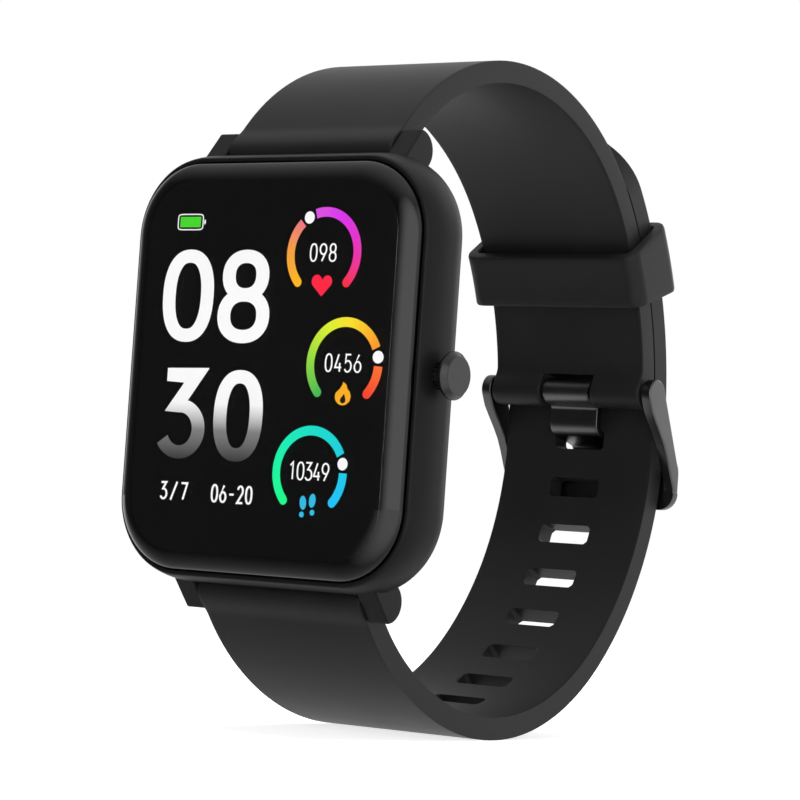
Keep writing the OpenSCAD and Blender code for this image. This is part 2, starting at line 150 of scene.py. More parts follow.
WEAVES: dict[Grain, Weave] = {
    Grain.BLASTED: Weave((9000, 9000, 9000), 0.25, 0.00002, 160),
    Grain.SILICONE: Weave((5200, 5200, 5200), 0.16, 0.00002, 90),
    Grain.BRUSHED: Weave((350, 14000, 14000), 0.12, 0.00001, 240),
    Grain.POLISHED: Weave((500, 500, 500), 0.0, 0.00001, 60),
}


@dataclass(frozen=True)
class Finish:
    """A solid finish with an uneven colour, an uneven gloss and a fine relief.

    Args:
        name: Name of the material.
        colour: Mean linear colour.
        roughness: Mean roughness.
        grain: Texture of the surface.
        metallic: Share of metal.
        specular: Specular level of the shader.
        uneven: Share by which colour and roughness drift over the surface.
        transmission: Share of light that passes.
    """

    name: str
    colour: Colour
    roughness: float
    grain: Grain = Grain.BLASTED
    metallic: float = 0.0
    specular: float = 0.5
    uneven: float = 0.12
    transmission: float = 0.0

    def material(self) -> bpy.types.Material:
        """Builds the material, once for each name.

        Returns:
            The material.
        """
        made = bpy.data.materials.get(self.name)
        if made is not None:
            return made
        made, tree, shader = new_material(self.name)
        shader.inputs["Metallic"].default_value = self.metallic
        shader.inputs["Specular IOR Level"].default_value = self.specular
        shader.inputs["Transmission Weight"].default_value = self.transmission
        shader.inputs["IOR"].default_value = IOR
        weave = WEAVES[self.grain]
        place = tree.nodes.new("ShaderNodeTexCoord").outputs["Object"]
        patches = self._noise(tree, place, (weave.patch_scale,) * 3, 3.0)
        ramp = add_node(tree, "ValToRGB", {"Fac": patches})
        darker, paler = 1 - self.uneven, 1 + self.uneven
        for element, where, share in zip(ramp.color_ramp.elements, (0.3, 0.7), (darker, paler)):
            element.position = where
            element.color = (*(min(1.0, c * share) for c in self.colour), 1)
        tree.links.new(ramp.outputs["Color"], shader.inputs["Base Color"])
        gloss = add_node(tree, "MapRange", {
            "Value": patches, "To Min": self.roughness * darker, "To Max": min(1.0, self.roughness * paler),
        })
        tree.links.new(gloss.outputs["Result"], shader.inputs["Roughness"])
        if weave.relief > 0:
            fine = self._noise(tree, place, weave.scale, 2.0)
            bump = add_node(tree, "Bump", {"Strength": weave.relief, "Distance": weave.depth, "Height": fine})
            tree.links.new(bump.outputs["Normal"], shader.inputs["Normal"])
        return made

    def _noise(
        self, tree: bpy.types.NodeTree, place: bpy.types.NodeSocket, scale: Sequence[float], detail: float
    ) -> bpy.types.NodeSocket:
        """Adds a noise texture.

        Args:
            tree: The node tree.
            place: The coordinates.
            scale: Noise scale in each direction.
            detail: Octaves of the noise.

        Returns:
            The socket with the noise.
        """
        mapping = add_node(tree, "Mapping", {"Vector": place, "Scale": scale})
        scaled = mapping.outputs["Vector"]
        return add_node(tree, "TexNoise", {"Vector": scaled, "Scale": 1.0, "Detail": detail}).outputs["Fac"]


@dataclass(frozen=True)
class Glow:
    """A lit part of the display, in one colour or along a ramp.

    Args:
        name: Name of the material.
        stops: (place, linear colour) pairs of the ramp, from 0 to 1.
        low: Height in millimetres where a vertical ramp starts.
        high: Height in millimetres where a vertical ramp ends.
        centre: Middle of a ramp that runs around a point, clockwise from 6 o'clock; None for a vertical one.
    """

    name: str
    stops: tuple[tuple[float, Colour], ...]
    low: float = 0.0
    high: float = 1.0
    centre: Point | None = None

    def material(self) -> bpy.types.Material:
        """Builds the material, once for each name.

        Returns:
            The material.
        """
        made = bpy.data.materials.get(self.name)
        if made is not None:
            return made
        made, tree, shader = new_material(self.name)
        shader.inputs["Base Color"].default_value = (0.01, 0.01, 0.01, 1)
        shader.inputs["Specular IOR Level"].default_value = 0.0
        shader.inputs["Emission Strength"].default_value = LIT
        place = tree.nodes.new("ShaderNodeTexCoord").outputs["Object"]
        if self.centre is None:
            split = add_node(tree, "SeparateXYZ", {"Vector": place})
            span = {"Value": split.outputs["Z"], "From Min": self.low * MM, "From Max": self.high * MM}
            share = add_node(tree, "MapRange", span).outputs["Result"]
        else:
            middle = (-self.centre[0] * MM, 0, -self.centre[1] * MM)
            quarter = math.radians(90)
            place = add_node(tree, "Mapping", {"Vector": place, "Location": middle}).outputs["Vector"]
            turn = {"Vector": place, "Rotation": (quarter, 0, quarter)}
            place = add_node(tree, "Mapping", turn).outputs["Vector"]
            share = add_node(tree, "TexGradient", {"Vector": place}, gradient_type="RADIAL").outputs["Fac"]
        ramp = add_node(tree, "ValToRGB", {"Fac": share})
        elements = ramp.color_ramp.elements
        while len(elements) < len(self.stops):
            elements.new(0.5)
        for element, (where, colour) in zip(elements, self.stops):
            element.position = where
            element.color = (*colour, 1)
        tree.links.new(ramp.outputs["Color"], shader.inputs["Emission Color"])
        return made


def srgb(red: int, green: int, blue: int) -> Colour:
    """Returns the linear colour of three display values from 0 to 255."""
    shares = (value / 255 for value in (red, green, blue))
    return tuple(s / 12.92 if s <= 0.04045 else ((s + 0.055) / 1.055) ** 2.4 for s in shares)


CASE_BLACK = Finish("case_black", (0.009, 0.009, 0.0095), 0.42, Grain.BLASTED, specular=0.15)
BACK_BLACK = Finish("back_black", (0.014, 0.014, 0.015), 0.3, Grain.POLISHED, specular=0.35)
SILICONE = Finish("silicone_black", (0.017, 0.017, 0.017), 0.46, Grain.SILICONE, specular=0.18)
CLEAR = Finish("clear_glass", (0.97, 0.975, 0.98), 0.02, Grain.POLISHED, transmission=1.0, uneven=0.06)
BORDER = Finish("black_glass", (0.002, 0.002, 0.002), 0.03, Grain.POLISHED, specular=0.55, uneven=0.0)
MASK = Finish("black_print", (0.002, 0.002, 0.002), 0.5, Grain.POLISHED, specular=0.02)
BONDED = Finish(
    "bonded_glass", (1.0, 1.0, 1.0), 0.0, Grain.POLISHED, specular=0.0, transmission=1.0, uneven=0.0
)
PANEL = Finish("display_black", (0.002, 0.002, 0.002), 0.35, Grain.POLISHED, specular=0.02)
WINDOW = Finish("sensor_glass", (0.004, 0.004, 0.005), 0.06, Grain.POLISHED, specular=0.5)
BUCKLE = Finish("buckle_steel", (0.11, 0.11, 0.113), 0.36, Grain.BRUSHED, metallic=1.0)
TONGUE = Finish("tongue_steel", (0.13, 0.13, 0.134), 0.36, Grain.BRUSHED, metallic=1.0)
CROWN = Finish("crown_black", (0.006, 0.006, 0.0065), 0.26, Grain.BLASTED, specular=0.6)
STEEL = Finish("bar_steel", (0.42, 0.42, 0.43), 0.3, Grain.BRUSHED, metallic=1.0)
SCREW = Finish("screw_black", (0.08, 0.08, 0.085), 0.34, Grain.BLASTED, metallic=1.0)
GOLD = Finish("contact_gold", (0.72, 0.5, 0.2), 0.28, Grain.POLISHED, metallic=1.0)
NICKEL = Finish("nickel", (0.55, 0.55, 0.54), 0.3, Grain.BRUSHED, metallic=1.0)
BOARD = Finish("board_green", (0.01, 0.07, 0.03), 0.4, Grain.BLASTED)
CHIP = Finish("chip_black", (0.02, 0.02, 0.02), 0.5, Grain.BLASTED)
BATTERY = Finish("battery_foil", (0.4, 0.41, 0.43), 0.35, Grain.BRUSHED, metallic=0.7)
RUBBER = Finish("seal_rubber", (0.015, 0.015, 0.015), 0.7, Grain.SILICONE)
EMITTER = Finish("emitter_lens", (0.25, 0.6, 0.3), 0.2, Grain.POLISHED)


# ---- shaping tools, all in millimetres ----


@dataclass(frozen=True)
class Piece:
    """What a finished mesh is called, what it moves with and what it stands for.

    Args:
        name: Name of the piece.
        body: Body of the frame that it rides on.
        finishes: Materials, in the order of the mesh's material numbers.
        stands_for: Nodes of the frame that it replaces.
        slot: Material slot of the record; it is not used.
        crease: Angle in degrees above which an edge stays sharp.
    """

    name: str
    body: str
    finishes: tuple[Finish | Glow, ...]
    stands_for: tuple[str, ...] = ()
    slot: str | None = None
    crease: float = 38.0

    def build(self, bm: bmesh.types.BMesh, cuts: Iterable["Cutter"] = ()) -> bpy.types.Object:
        """Turns a drawn mesh into a piece that rides on its body.

        Args:
            bm: The mesh in millimetres. It is freed.
            cuts: Solids that are joined to it or taken from it.

        Returns:
            The piece.
        """
        piece = as_object(self.name, bm)
        for cut in cuts:
            cut.apply(piece)
        mesh = piece.data
        mesh.transform(Matrix.Scale(MM, 4))
        for finish in self.finishes:
            mesh.materials.append(finish.material())
        mesh.polygons.foreach_set("use_smooth", [True] * len(mesh.polygons))
        mesh.set_sharp_from_angle(angle=math.radians(self.crease))
        even = piece.modifiers.new("even shading", "WEIGHTED_NORMAL")
        even.keep_sharp = True
        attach(piece, self.body)
        if self.stands_for:
            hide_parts(*self.stands_for)
        LOG.info("%s: %d faces on %s", self.name, len(mesh.polygons), self.body)
        return piece


def as_object(name: str, bm: bmesh.types.BMesh) -> bpy.types.Object:
    """Puts a drawn mesh in the scene and frees it.

    Args:
        name: Name of the object.
        bm: The mesh.

    Returns:
        The object.
    """
    bmesh.ops.remove_doubles(bm, verts=bm.verts, dist=WELD)
    bmesh.ops.recalc_face_normals(bm, faces=bm.faces)
    mesh = bpy.data.meshes.new(name)
    bm.to_mesh(mesh)
    bm.free()
    made = bpy.data.objects.new(name, mesh)
    bpy.context.scene.collection.objects.link(made)
    return made


@dataclass
class Cutter:
    """A solid that is joined to a piece or taken from it.

    Args:
        bm: The solid in millimetres.
        operation: DIFFERENCE or UNION.
    """

    bm: bmesh.types.BMesh
    operation: str = "DIFFERENCE"

    def apply(self, piece: bpy.types.Object) -> None:
        """Cuts or joins the solid, and removes it afterwards.

        Args:
            piece: The piece to change.
        """
        tool = as_object("cutter", self.bm)
        step = piece.modifiers.new("cut", "BOOLEAN")
        step.operation = self.operation
        step.solver = "EXACT"
        step.object = tool
        view = bpy.context.evaluated_depsgraph_get()
        cut = bpy.data.meshes.new_from_object(piece.evaluated_get(view))
        piece.modifiers.remove(step)
        piece.data = cut
        tool_mesh = tool.data
        bpy.data.objects.remove(tool)
        bpy.data.meshes.remove(tool_mesh)


class RoundedStack:
    """Grows a block with rounded corners ring by ring, from an outline and steps of (inset, level)."""

    def __init__(
        self, bm: bmesh.types.BMesh, width: float, height: float, radius: float, segments: int = 12
    ) -> None:
        """Starts with the outline at level 0.

        Args:
            bm: The mesh to draw in.
            width: Width of the outline.
            height: Height of the outline.
            radius: Corner radius of the outline.
            segments: Segments in each corner.
        """
        self.bm = bm
        self.radius = radius
        self.core = (width / 2 - radius, height / 2 - radius)
        self.grown = False
        start = bmesh.ops.create_grid(bm, x_segments=1, y_segments=1, size=0.5)["verts"]
        bmesh.ops.scale(bm, vec=(width, height, 1), verts=start)
        bmesh.ops.bevel(
            bm, geom=start, offset=radius, segments=segments, profile=0.5, affect="VERTICES", material=-1
        )
        self.first = self.edges = bm.edges[:]
        bmesh.ops.delete(bm, geom=bm.faces[:], context="FACES_ONLY")

    def ring(self, inset: float, level: float) -> list[bmesh.types.BMFace]:
        """Adds a ring. The first one only moves the outline.

        Args:
            inset: How far the ring lies inside the outline.
            level: Height of the ring.

        Returns:
            The new faces.
        """
        faces = []
        if self.grown:
            grown = bmesh.ops.extrude_edge_only(self.bm, edges=self.edges)["geom"]
            faces = [g for g in grown if isinstance(g, bmesh.types.BMFace)]
            new = {g for g in grown if isinstance(g, bmesh.types.BMVert)}
            self.edges = [g for g in grown if isinstance(g, bmesh.types.BMEdge) and new.issuperset(g.verts)]
        self.grown = True
        for vert in {v for e in self.edges for v in e.verts}:
            core = Vector([max(-c, min(c, v)) for c, v in zip(self.core, vert.co)])
            away = (Vector(vert.co[:2]) - core).normalized() * (self.radius - inset)
            vert.co = (core.x + away.x, core.y + away.y, level)
        return faces

    def rings(self, steps: Iterable[Point]) -> None:
        """Adds a ring for each (inset, level)."""
        for step in steps:
            self.ring(*step)

    def cap(self) -> bmesh.types.BMFace:
        """Closes the present ring with one face and returns it."""
        return bmesh.ops.contextual_create(self.bm, geom=self.edges)["faces"][0]

    def cap_first(self) -> bmesh.types.BMFace:
        """Closes the first ring with one face and returns it."""
        return bmesh.ops.contextual_create(self.bm, geom=self.first)["faces"][0]

    def join_ends(self) -> None:
        """Joins the present ring to the first one."""
        bmesh.ops.bridge_loops(self.bm, edges=self.first + self.edges)


def everything(bm: bmesh.types.BMesh) -> list:
    """Returns all verts, edges and faces of a mesh."""
    return bm.verts[:] + bm.edges[:] + bm.faces[:]


def mirror(bm: bmesh.types.BMesh, axis: str) -> None:
    """Adds a mesh's mirror image across an axis."""
    bmesh.ops.mirror(bm, geom=everything(bm), axis=axis, merge_dist=0.0001)


def face_forward(bm: bmesh.types.BMesh) -> None:
    """Turns a mesh drawn as (across, up, level) so that its levels point out of the front of the watch."""
    bmesh.ops.rotate(bm, verts=bm.verts, matrix=Matrix.Rotation(math.radians(90), 3, "X"))


def turned_sideways(bm: bmesh.types.BMesh, verts: Sequence[bmesh.types.BMVert]) -> None:
    """Turns vertices drawn as (back, up, across) into place."""
    turn = Matrix(((0, 0, 1), (1, 0, 0), (0, 1, 0)))
    bmesh.ops.rotate(bm, verts=verts, matrix=turn)


class Outline:
    """Draws a flat closed outline with lines and arcs, starting at one point."""

    def __init__(self, bm: bmesh.types.BMesh, start: Point) -> None:
        """Starts the outline.

        Args:
            bm: The mesh to draw in.
            start: First point.
        """
        self.bm = bm
        self.first = self.tip = bm.verts.new((*start, 0))
        self.verts = [self.first]

    def line(self, *points: Point) -> "Outline":
        """Draws straight to each point.

        Args:
            points: The points.

        Returns:
            The outline.
        """
        for point in points:
            grown = bmesh.ops.extrude_vert_indiv(self.bm, verts=[self.tip])
            self.tip = grown["verts"][0]
            self.tip.co = (*point, 0)
            self.verts.append(self.tip)
        return self

    def arc(self, centre: Point, degrees: float, steps: int = 12) -> "Outline":
        """Draws an arc around a centre.

        Args:
            centre: The centre.
            degrees: Its angle, positive if it runs anticlockwise.
            steps: Number of steps.

        Returns:
            The outline.
        """
        middle = Vector((*centre, 0))
        start = self.tip.co - middle
        for step in range(1, steps + 1):
            turn = Matrix.Rotation(math.radians(degrees * step / steps), 3, "Z")
            self.line(tuple((middle + turn @ start)[:2]))
        return self

    def fill(self) -> bmesh.types.BMFace:
        """Closes the outline.

        Returns:
            Its face.
        """
        if (self.tip.co - self.first.co).length < 0.001:
            bmesh.ops.pointmerge(self.bm, verts=[self.first, self.tip], merge_co=self.first.co)
            self.verts = [v for v in self.verts if v.is_valid]
        else:
            self.bm.edges.new((self.tip, self.first))
        edges = {e for v in self.verts for e in v.link_edges}
        return bmesh.ops.contextual_create(self.bm, geom=list(edges))["faces"][0]


def thicken(
    bm: bmesh.types.BMesh, faces: Sequence[bmesh.types.BMFace], depth: float
) -> list[bmesh.types.BMVert]:
    """Extrudes flat faces along their third axis.

    Args:
        bm: The mesh.
        faces: Flat faces.
        depth: Distance.

    Returns:
        The verts of the new end.
    """
    grown = bmesh.ops.extrude_face_region(bm, geom=list(faces), use_keep_orig=True)["geom"]
    verts = [g for g in grown if isinstance(g, bmesh.types.BMVert)]
    bmesh.ops.translate(bm, vec=(0, 0, depth), verts=verts)
    return verts


def soften(
    bm: bmesh.types.BMesh, edges: Iterable[bmesh.types.BMEdge], radius: float, segments: int = 3
) -> None:
    """Rounds edges.

    Args:
        bm: The mesh.
        edges: The edges.
        radius: Radius of the bevel.
        segments: Segments of the bevel.
    """
    bmesh.ops.bevel(
        bm, geom=list(edges), offset=radius, segments=segments, profile=0.5, affect="EDGES",
        clamp_overlap=True, material=-1,
    )


def sharp_edges(bm: bmesh.types.BMesh, degrees: float = 60) -> list[bmesh.types.BMEdge]:
    """Finds the edges whose two faces meet at more than an angle.

    Args:
        bm: The mesh.
        degrees: The angle.

    Returns:
        The edges.
    """
    bmesh.ops.recalc_face_normals(bm, faces=bm.faces)
    limit = math.radians(degrees)
    return [e for e in bm.edges if len(e.link_faces) == 2 and e.calc_face_angle() > limit]


def rod(radius: float, length: float, place: Matrix, segments: int) -> bmesh.types.BMesh:
    """Makes a round solid along its own third axis.

    Args:
        radius: Its radius.
        length: Its length.
        place: Where its middle goes.
        segments: Number of its sides.

    Returns:
        The solid.
    """
    bm = bmesh.new()
    bmesh.ops.create_cone(
        bm, cap_ends=True, segments=segments, radius1=radius, radius2=radius, depth=length, matrix=place
    )
    return bm


def round_bar(
    y: float, z: float, low: float, high: float, radius: float, segments: int = 32
) -> bmesh.types.BMesh:
    """Makes a round bar across the watch.

    Args:
        y: Back of its axis.
        z: Height of its axis.
        low: Across of its left end.
        high: Across of its right end.
        radius: Its radius.
        segments: Number of its sides.

    Returns:
        The bar.
    """
    place = Matrix.Translation(((low + high) / 2, y, z)) @ Matrix.Rotation(math.radians(90), 4, "Y")
    return rod(radius, high - low, place, segments)


def turned(profile: Sequence[Point]) -> bmesh.types.BMesh:
    """Makes a solid turned around the second axis.

    Args:
        profile: (radius, height) of its points, from the axis back to the axis.

    Returns:
        The solid.
    """
    bm = bmesh.new()
    line = Outline(bm, profile[0]).line(*profile[1:])
    edges = list({e for v in line.verts for e in v.link_edges})
    bmesh.ops.spin(
        bm, geom=line.verts + edges, cent=(0, 0, 0), axis=(0, 1, 0), angle=math.tau, steps=72, use_merge=True
    )
    return bm


def between(marks: Sequence[float], pitch: float) -> list[float]:
    """Puts even stops between some marks.

    Args:
        marks: The marks.
        pitch: Greatest distance between two stops.

    Returns:
        The marks and the stops.
    """
    stops = [marks[0]]
    for low, high in zip(marks, marks[1:]):
        count = max(1, math.ceil((high - low) / pitch - 1e-6))
        stops += [low + (high - low) * k / count for k in range(1, count + 1)]
    return stops


def ease(share: float) -> float:
    """Returns a smooth step from 0 to 1 as share goes from 0 to 1."""
    share = max(0.0, min(1.0, share))
    return share * share * (3 - 2 * share)


@dataclass(frozen=True)
class ArcPath:
    """A chain of arcs seen from the side, as (back, up) with a heading.

    Args:
        start: Back and up of its first point.
        heading: First heading in degrees, from back towards up.
        arcs: (radius, turn in degrees) of each arc.
        outward: 1 if the outer face is on the right of the way, -1 if it is on the left.
    """

    start: Point
    heading: float
    arcs: tuple[tuple[float, float], ...]
    outward: int

    @property
    def length(self) -> float:
        """Length of the whole chain."""
        return sum(radius * math.radians(abs(turn)) for radius, turn in self.arcs)

    def at(self, distance: float) -> tuple[float, float, float]:
        """Finds a place along the path, which runs straight on past both ends.

        Args:
            distance: Distance along the path.

        Returns:
            Back, up and the heading in radians.
        """
        y, z = self.start
        heading = math.radians(self.heading)
        if distance < 0:
            return y + distance * math.cos(heading), z + distance * math.sin(heading), heading
        for radius, turn in self.arcs:
            part = min(distance, radius * math.radians(abs(turn)))
            sign = math.copysign(1, turn)
            after = heading + sign * part / radius
            y += sign * radius * (math.sin(after) - math.sin(heading))
            z -= sign * radius * (math.cos(after) - math.cos(heading))
            heading = after
            distance -= part
        return y + distance * math.cos(heading), z + distance * math.sin(heading), heading

    def beside(self, distance: float, off: float) -> Point:
        """Finds a point beside the path.

        Args:
            distance: Distance along the path.
            off: Distance from it, towards the outer side.

        Returns:
            Back and up.
        """
        y, z, heading = self.at(distance)
        return y + self.outward * off * math.sin(heading), z - self.outward * off * math.cos(heading)

    def bend(self, bm: bmesh.types.BMesh) -> None:
        """Lays a flat mesh along the path.

        Args:
            bm: A mesh drawn as (across, along, outwards).
        """
        for vert in bm.verts:
            y, z = self.beside(vert.co.y, vert.co.z)
            vert.co = (vert.co.x, y, z)


@dataclass
class BentSlab:
    """A flat slab with openings and soft rims that is bent along a path.

    Args:
        path: Where it runs.
        columns: Places across.
        rows: Places along.
        half: Half of its flat thickness.
        rim: Radius of its rims.
        skin: Inner and outer face offsets at a distance along.
        half_width: Outer half width at a distance along.
        open_at: Whether a cell at (across, along) is open.
        rim_segments: Segments of a rim.
        hole_corner: Radius of the openings' corners.
        steady: Share of the half width, from the middle, whose columns stay in place where the slab narrows.
    """

    path: ArcPath
    columns: list[float]
    rows: list[float]
    half: float
    rim: float
    skin: Callable[[float], tuple[float, float]]
    half_width: Callable[[float], float]
    open_at: Callable[[float, float], bool] = lambda x, s: False
    rim_segments: int = 3
    hole_corner: float = 0.0
    steady: float = 0.42

    def mesh(self) -> bmesh.types.BMesh:
        """Draws the bent slab.

        Returns:
            The slab.
        """
        bm = bmesh.new()
        across, along = len(self.columns) - 1, len(self.rows) - 1
        bmesh.ops.create_grid(bm, x_segments=across, y_segments=along, size=0.5)
        for vert in bm.verts:
            column = round((vert.co.x + 0.5) * across)
            row = round((vert.co.y + 0.5) * along)
            vert.co = (self.columns[column], self.rows[row], -self.half)
        holes = [f for f in bm.faces if self.open_at(*f.calc_center_median()[:2])]
        bmesh.ops.delete(bm, geom=holes, context="FACES")
        if self.hole_corner > 0:
            self._round_holes(bm)
        thicken(bm, list(bm.faces), 2 * self.half)
        soften(bm, sharp_edges(bm), self.rim, self.rim_segments)
        widest = max(self.columns)
        keep = self.steady * widest
        for vert in bm.verts:
            inner, outer = self.skin(vert.co.y)
            share = vert.co.z / self.half
            vert.co.z = share * (outer if share > 0 else inner)
            wide = self.half_width(vert.co.y)
            if wide < keep * 1.5:
                vert.co.x *= wide / widest
            elif abs(vert.co.x) > keep:
                past = (abs(vert.co.x) - keep) / (widest - keep)
                vert.co.x = math.copysign(keep + past * (wide - keep), vert.co.x)
        self.path.bend(bm)
        return bm

    def _round_holes(self, bm: bmesh.types.BMesh) -> None:
        """Rounds the corners of the openings.

        Args:
            bm: The flat mesh, in which each opening's corner cells are still filled.
        """
        edge = max(self.columns) - 0.01
        corners = [v for v in bm.verts if len(v.link_faces) == 1 and abs(v.co.x) < edge]
        centres = {v.co.to_tuple(3) for v in corners}
        bmesh.ops.subdivide_edges(bm, edges=list({e for v in corners for e in v.link_edges}), cuts=1)
        for vert in [v for v in bm.verts if v.co.to_tuple(3) in centres]:
            centre = vert.co.copy()
            near = [e.other_vert(vert) for e in vert.link_edges]
            ways = [(v.co - centre).normalized() for v in near]
            for moved, share in ((vert, 45.0), (near[0], 22.5), (near[1], 67.5)):
                turn = math.radians(share)
                moved.co = centre + (ways[0] * math.cos(turn) + ways[1] * math.sin(turn)) * self.hole_corner


# ---- studio ----


@dataclass(frozen=True)
class Gleam:
    """A soft-edged light that only shines see.

    Args:
        output: Output of Texture Coordinate that is measured.
        direction: The direction it is measured along.
        start: Where the light starts.
        full: Where it is full.
        least: Strength where it starts.
        most: Full strength.
        by_angle: True to measure the cosine of the angle instead of the distance.
    """

    output: str
    direction: Point3
    start: float
    full: float
    least: float
    most: float
    by_angle: bool = False

    def strength(self, tree: bpy.types.NodeTree, place: bpy.types.Node) -> bpy.types.NodeSocket:
        """Works out the light's strength.

        Args:
            tree: A node tree.
            place: Its Texture Coordinate node.

        Returns:
            A socket with the strength.
        """
        source = place.outputs[self.output]
        if self.by_angle:
            source = add_node(tree, "VectorMath", {0: source}, operation="NORMALIZE").outputs["Vector"]
        aim = Vector(self.direction).normalized()
        toward = add_node(tree, "VectorMath", {0: source, 1: aim}, operation="DOT_PRODUCT").outputs["Value"]
        span = {
            "Value": toward, "From Min": self.start, "From Max": self.full, "To Min": self.least,
            "To Max": self.most,
        }
        return add_node(tree, "MapRange", span, interpolation_type="SMOOTHSTEP").outputs["Result"]


@dataclass(frozen=True)
class Lamp:
    """A soft rectangular lamp.

    Args:
        name: Name of the lamp.
        place: Its middle.
        aim: The point it faces.
        size: Its width and height.
        power: Its power in watts.
        mirrored: Whether shines see it.
    """

    name: str
    place: Point3
    aim: Point3
    size: Point
    power: float
    mirrored: bool = False

    def build(self) -> None:
        """Hangs the lamp."""
        data = bpy.data.lights.new(self.name, "AREA")
        data.shape = "RECTANGLE"
        data.size, data.size_y = (s * MM for s in self.size)
        data.energy = self.power
        lamp = bpy.data.objects.new(self.name, data)
        lamp.visible_glossy = self.mirrored
        place = Vector(self.place)
        turn = (Vector(self.aim) - place).to_track_quat("-Z", "Y").to_matrix().to_4x4()
        lamp.matrix_world = Matrix.Translation(place * MM) @ turn
        bpy.context.scene.collection.objects.link(lamp)


def greatest(tree: bpy.types.NodeTree, sockets: Sequence[bpy.types.NodeSocket]) -> bpy.types.NodeSocket:
    """Picks the greatest of some values.

    Args:
        tree: A node tree.
        sockets: The others.

    Returns:
        A socket with the greatest value.
    """
    most = sockets[0]
    for socket in sockets[1:]:
        most = add_node(tree, "Math", {0: most, 1: socket}, operation="MAXIMUM").outputs["Value"]
    return most


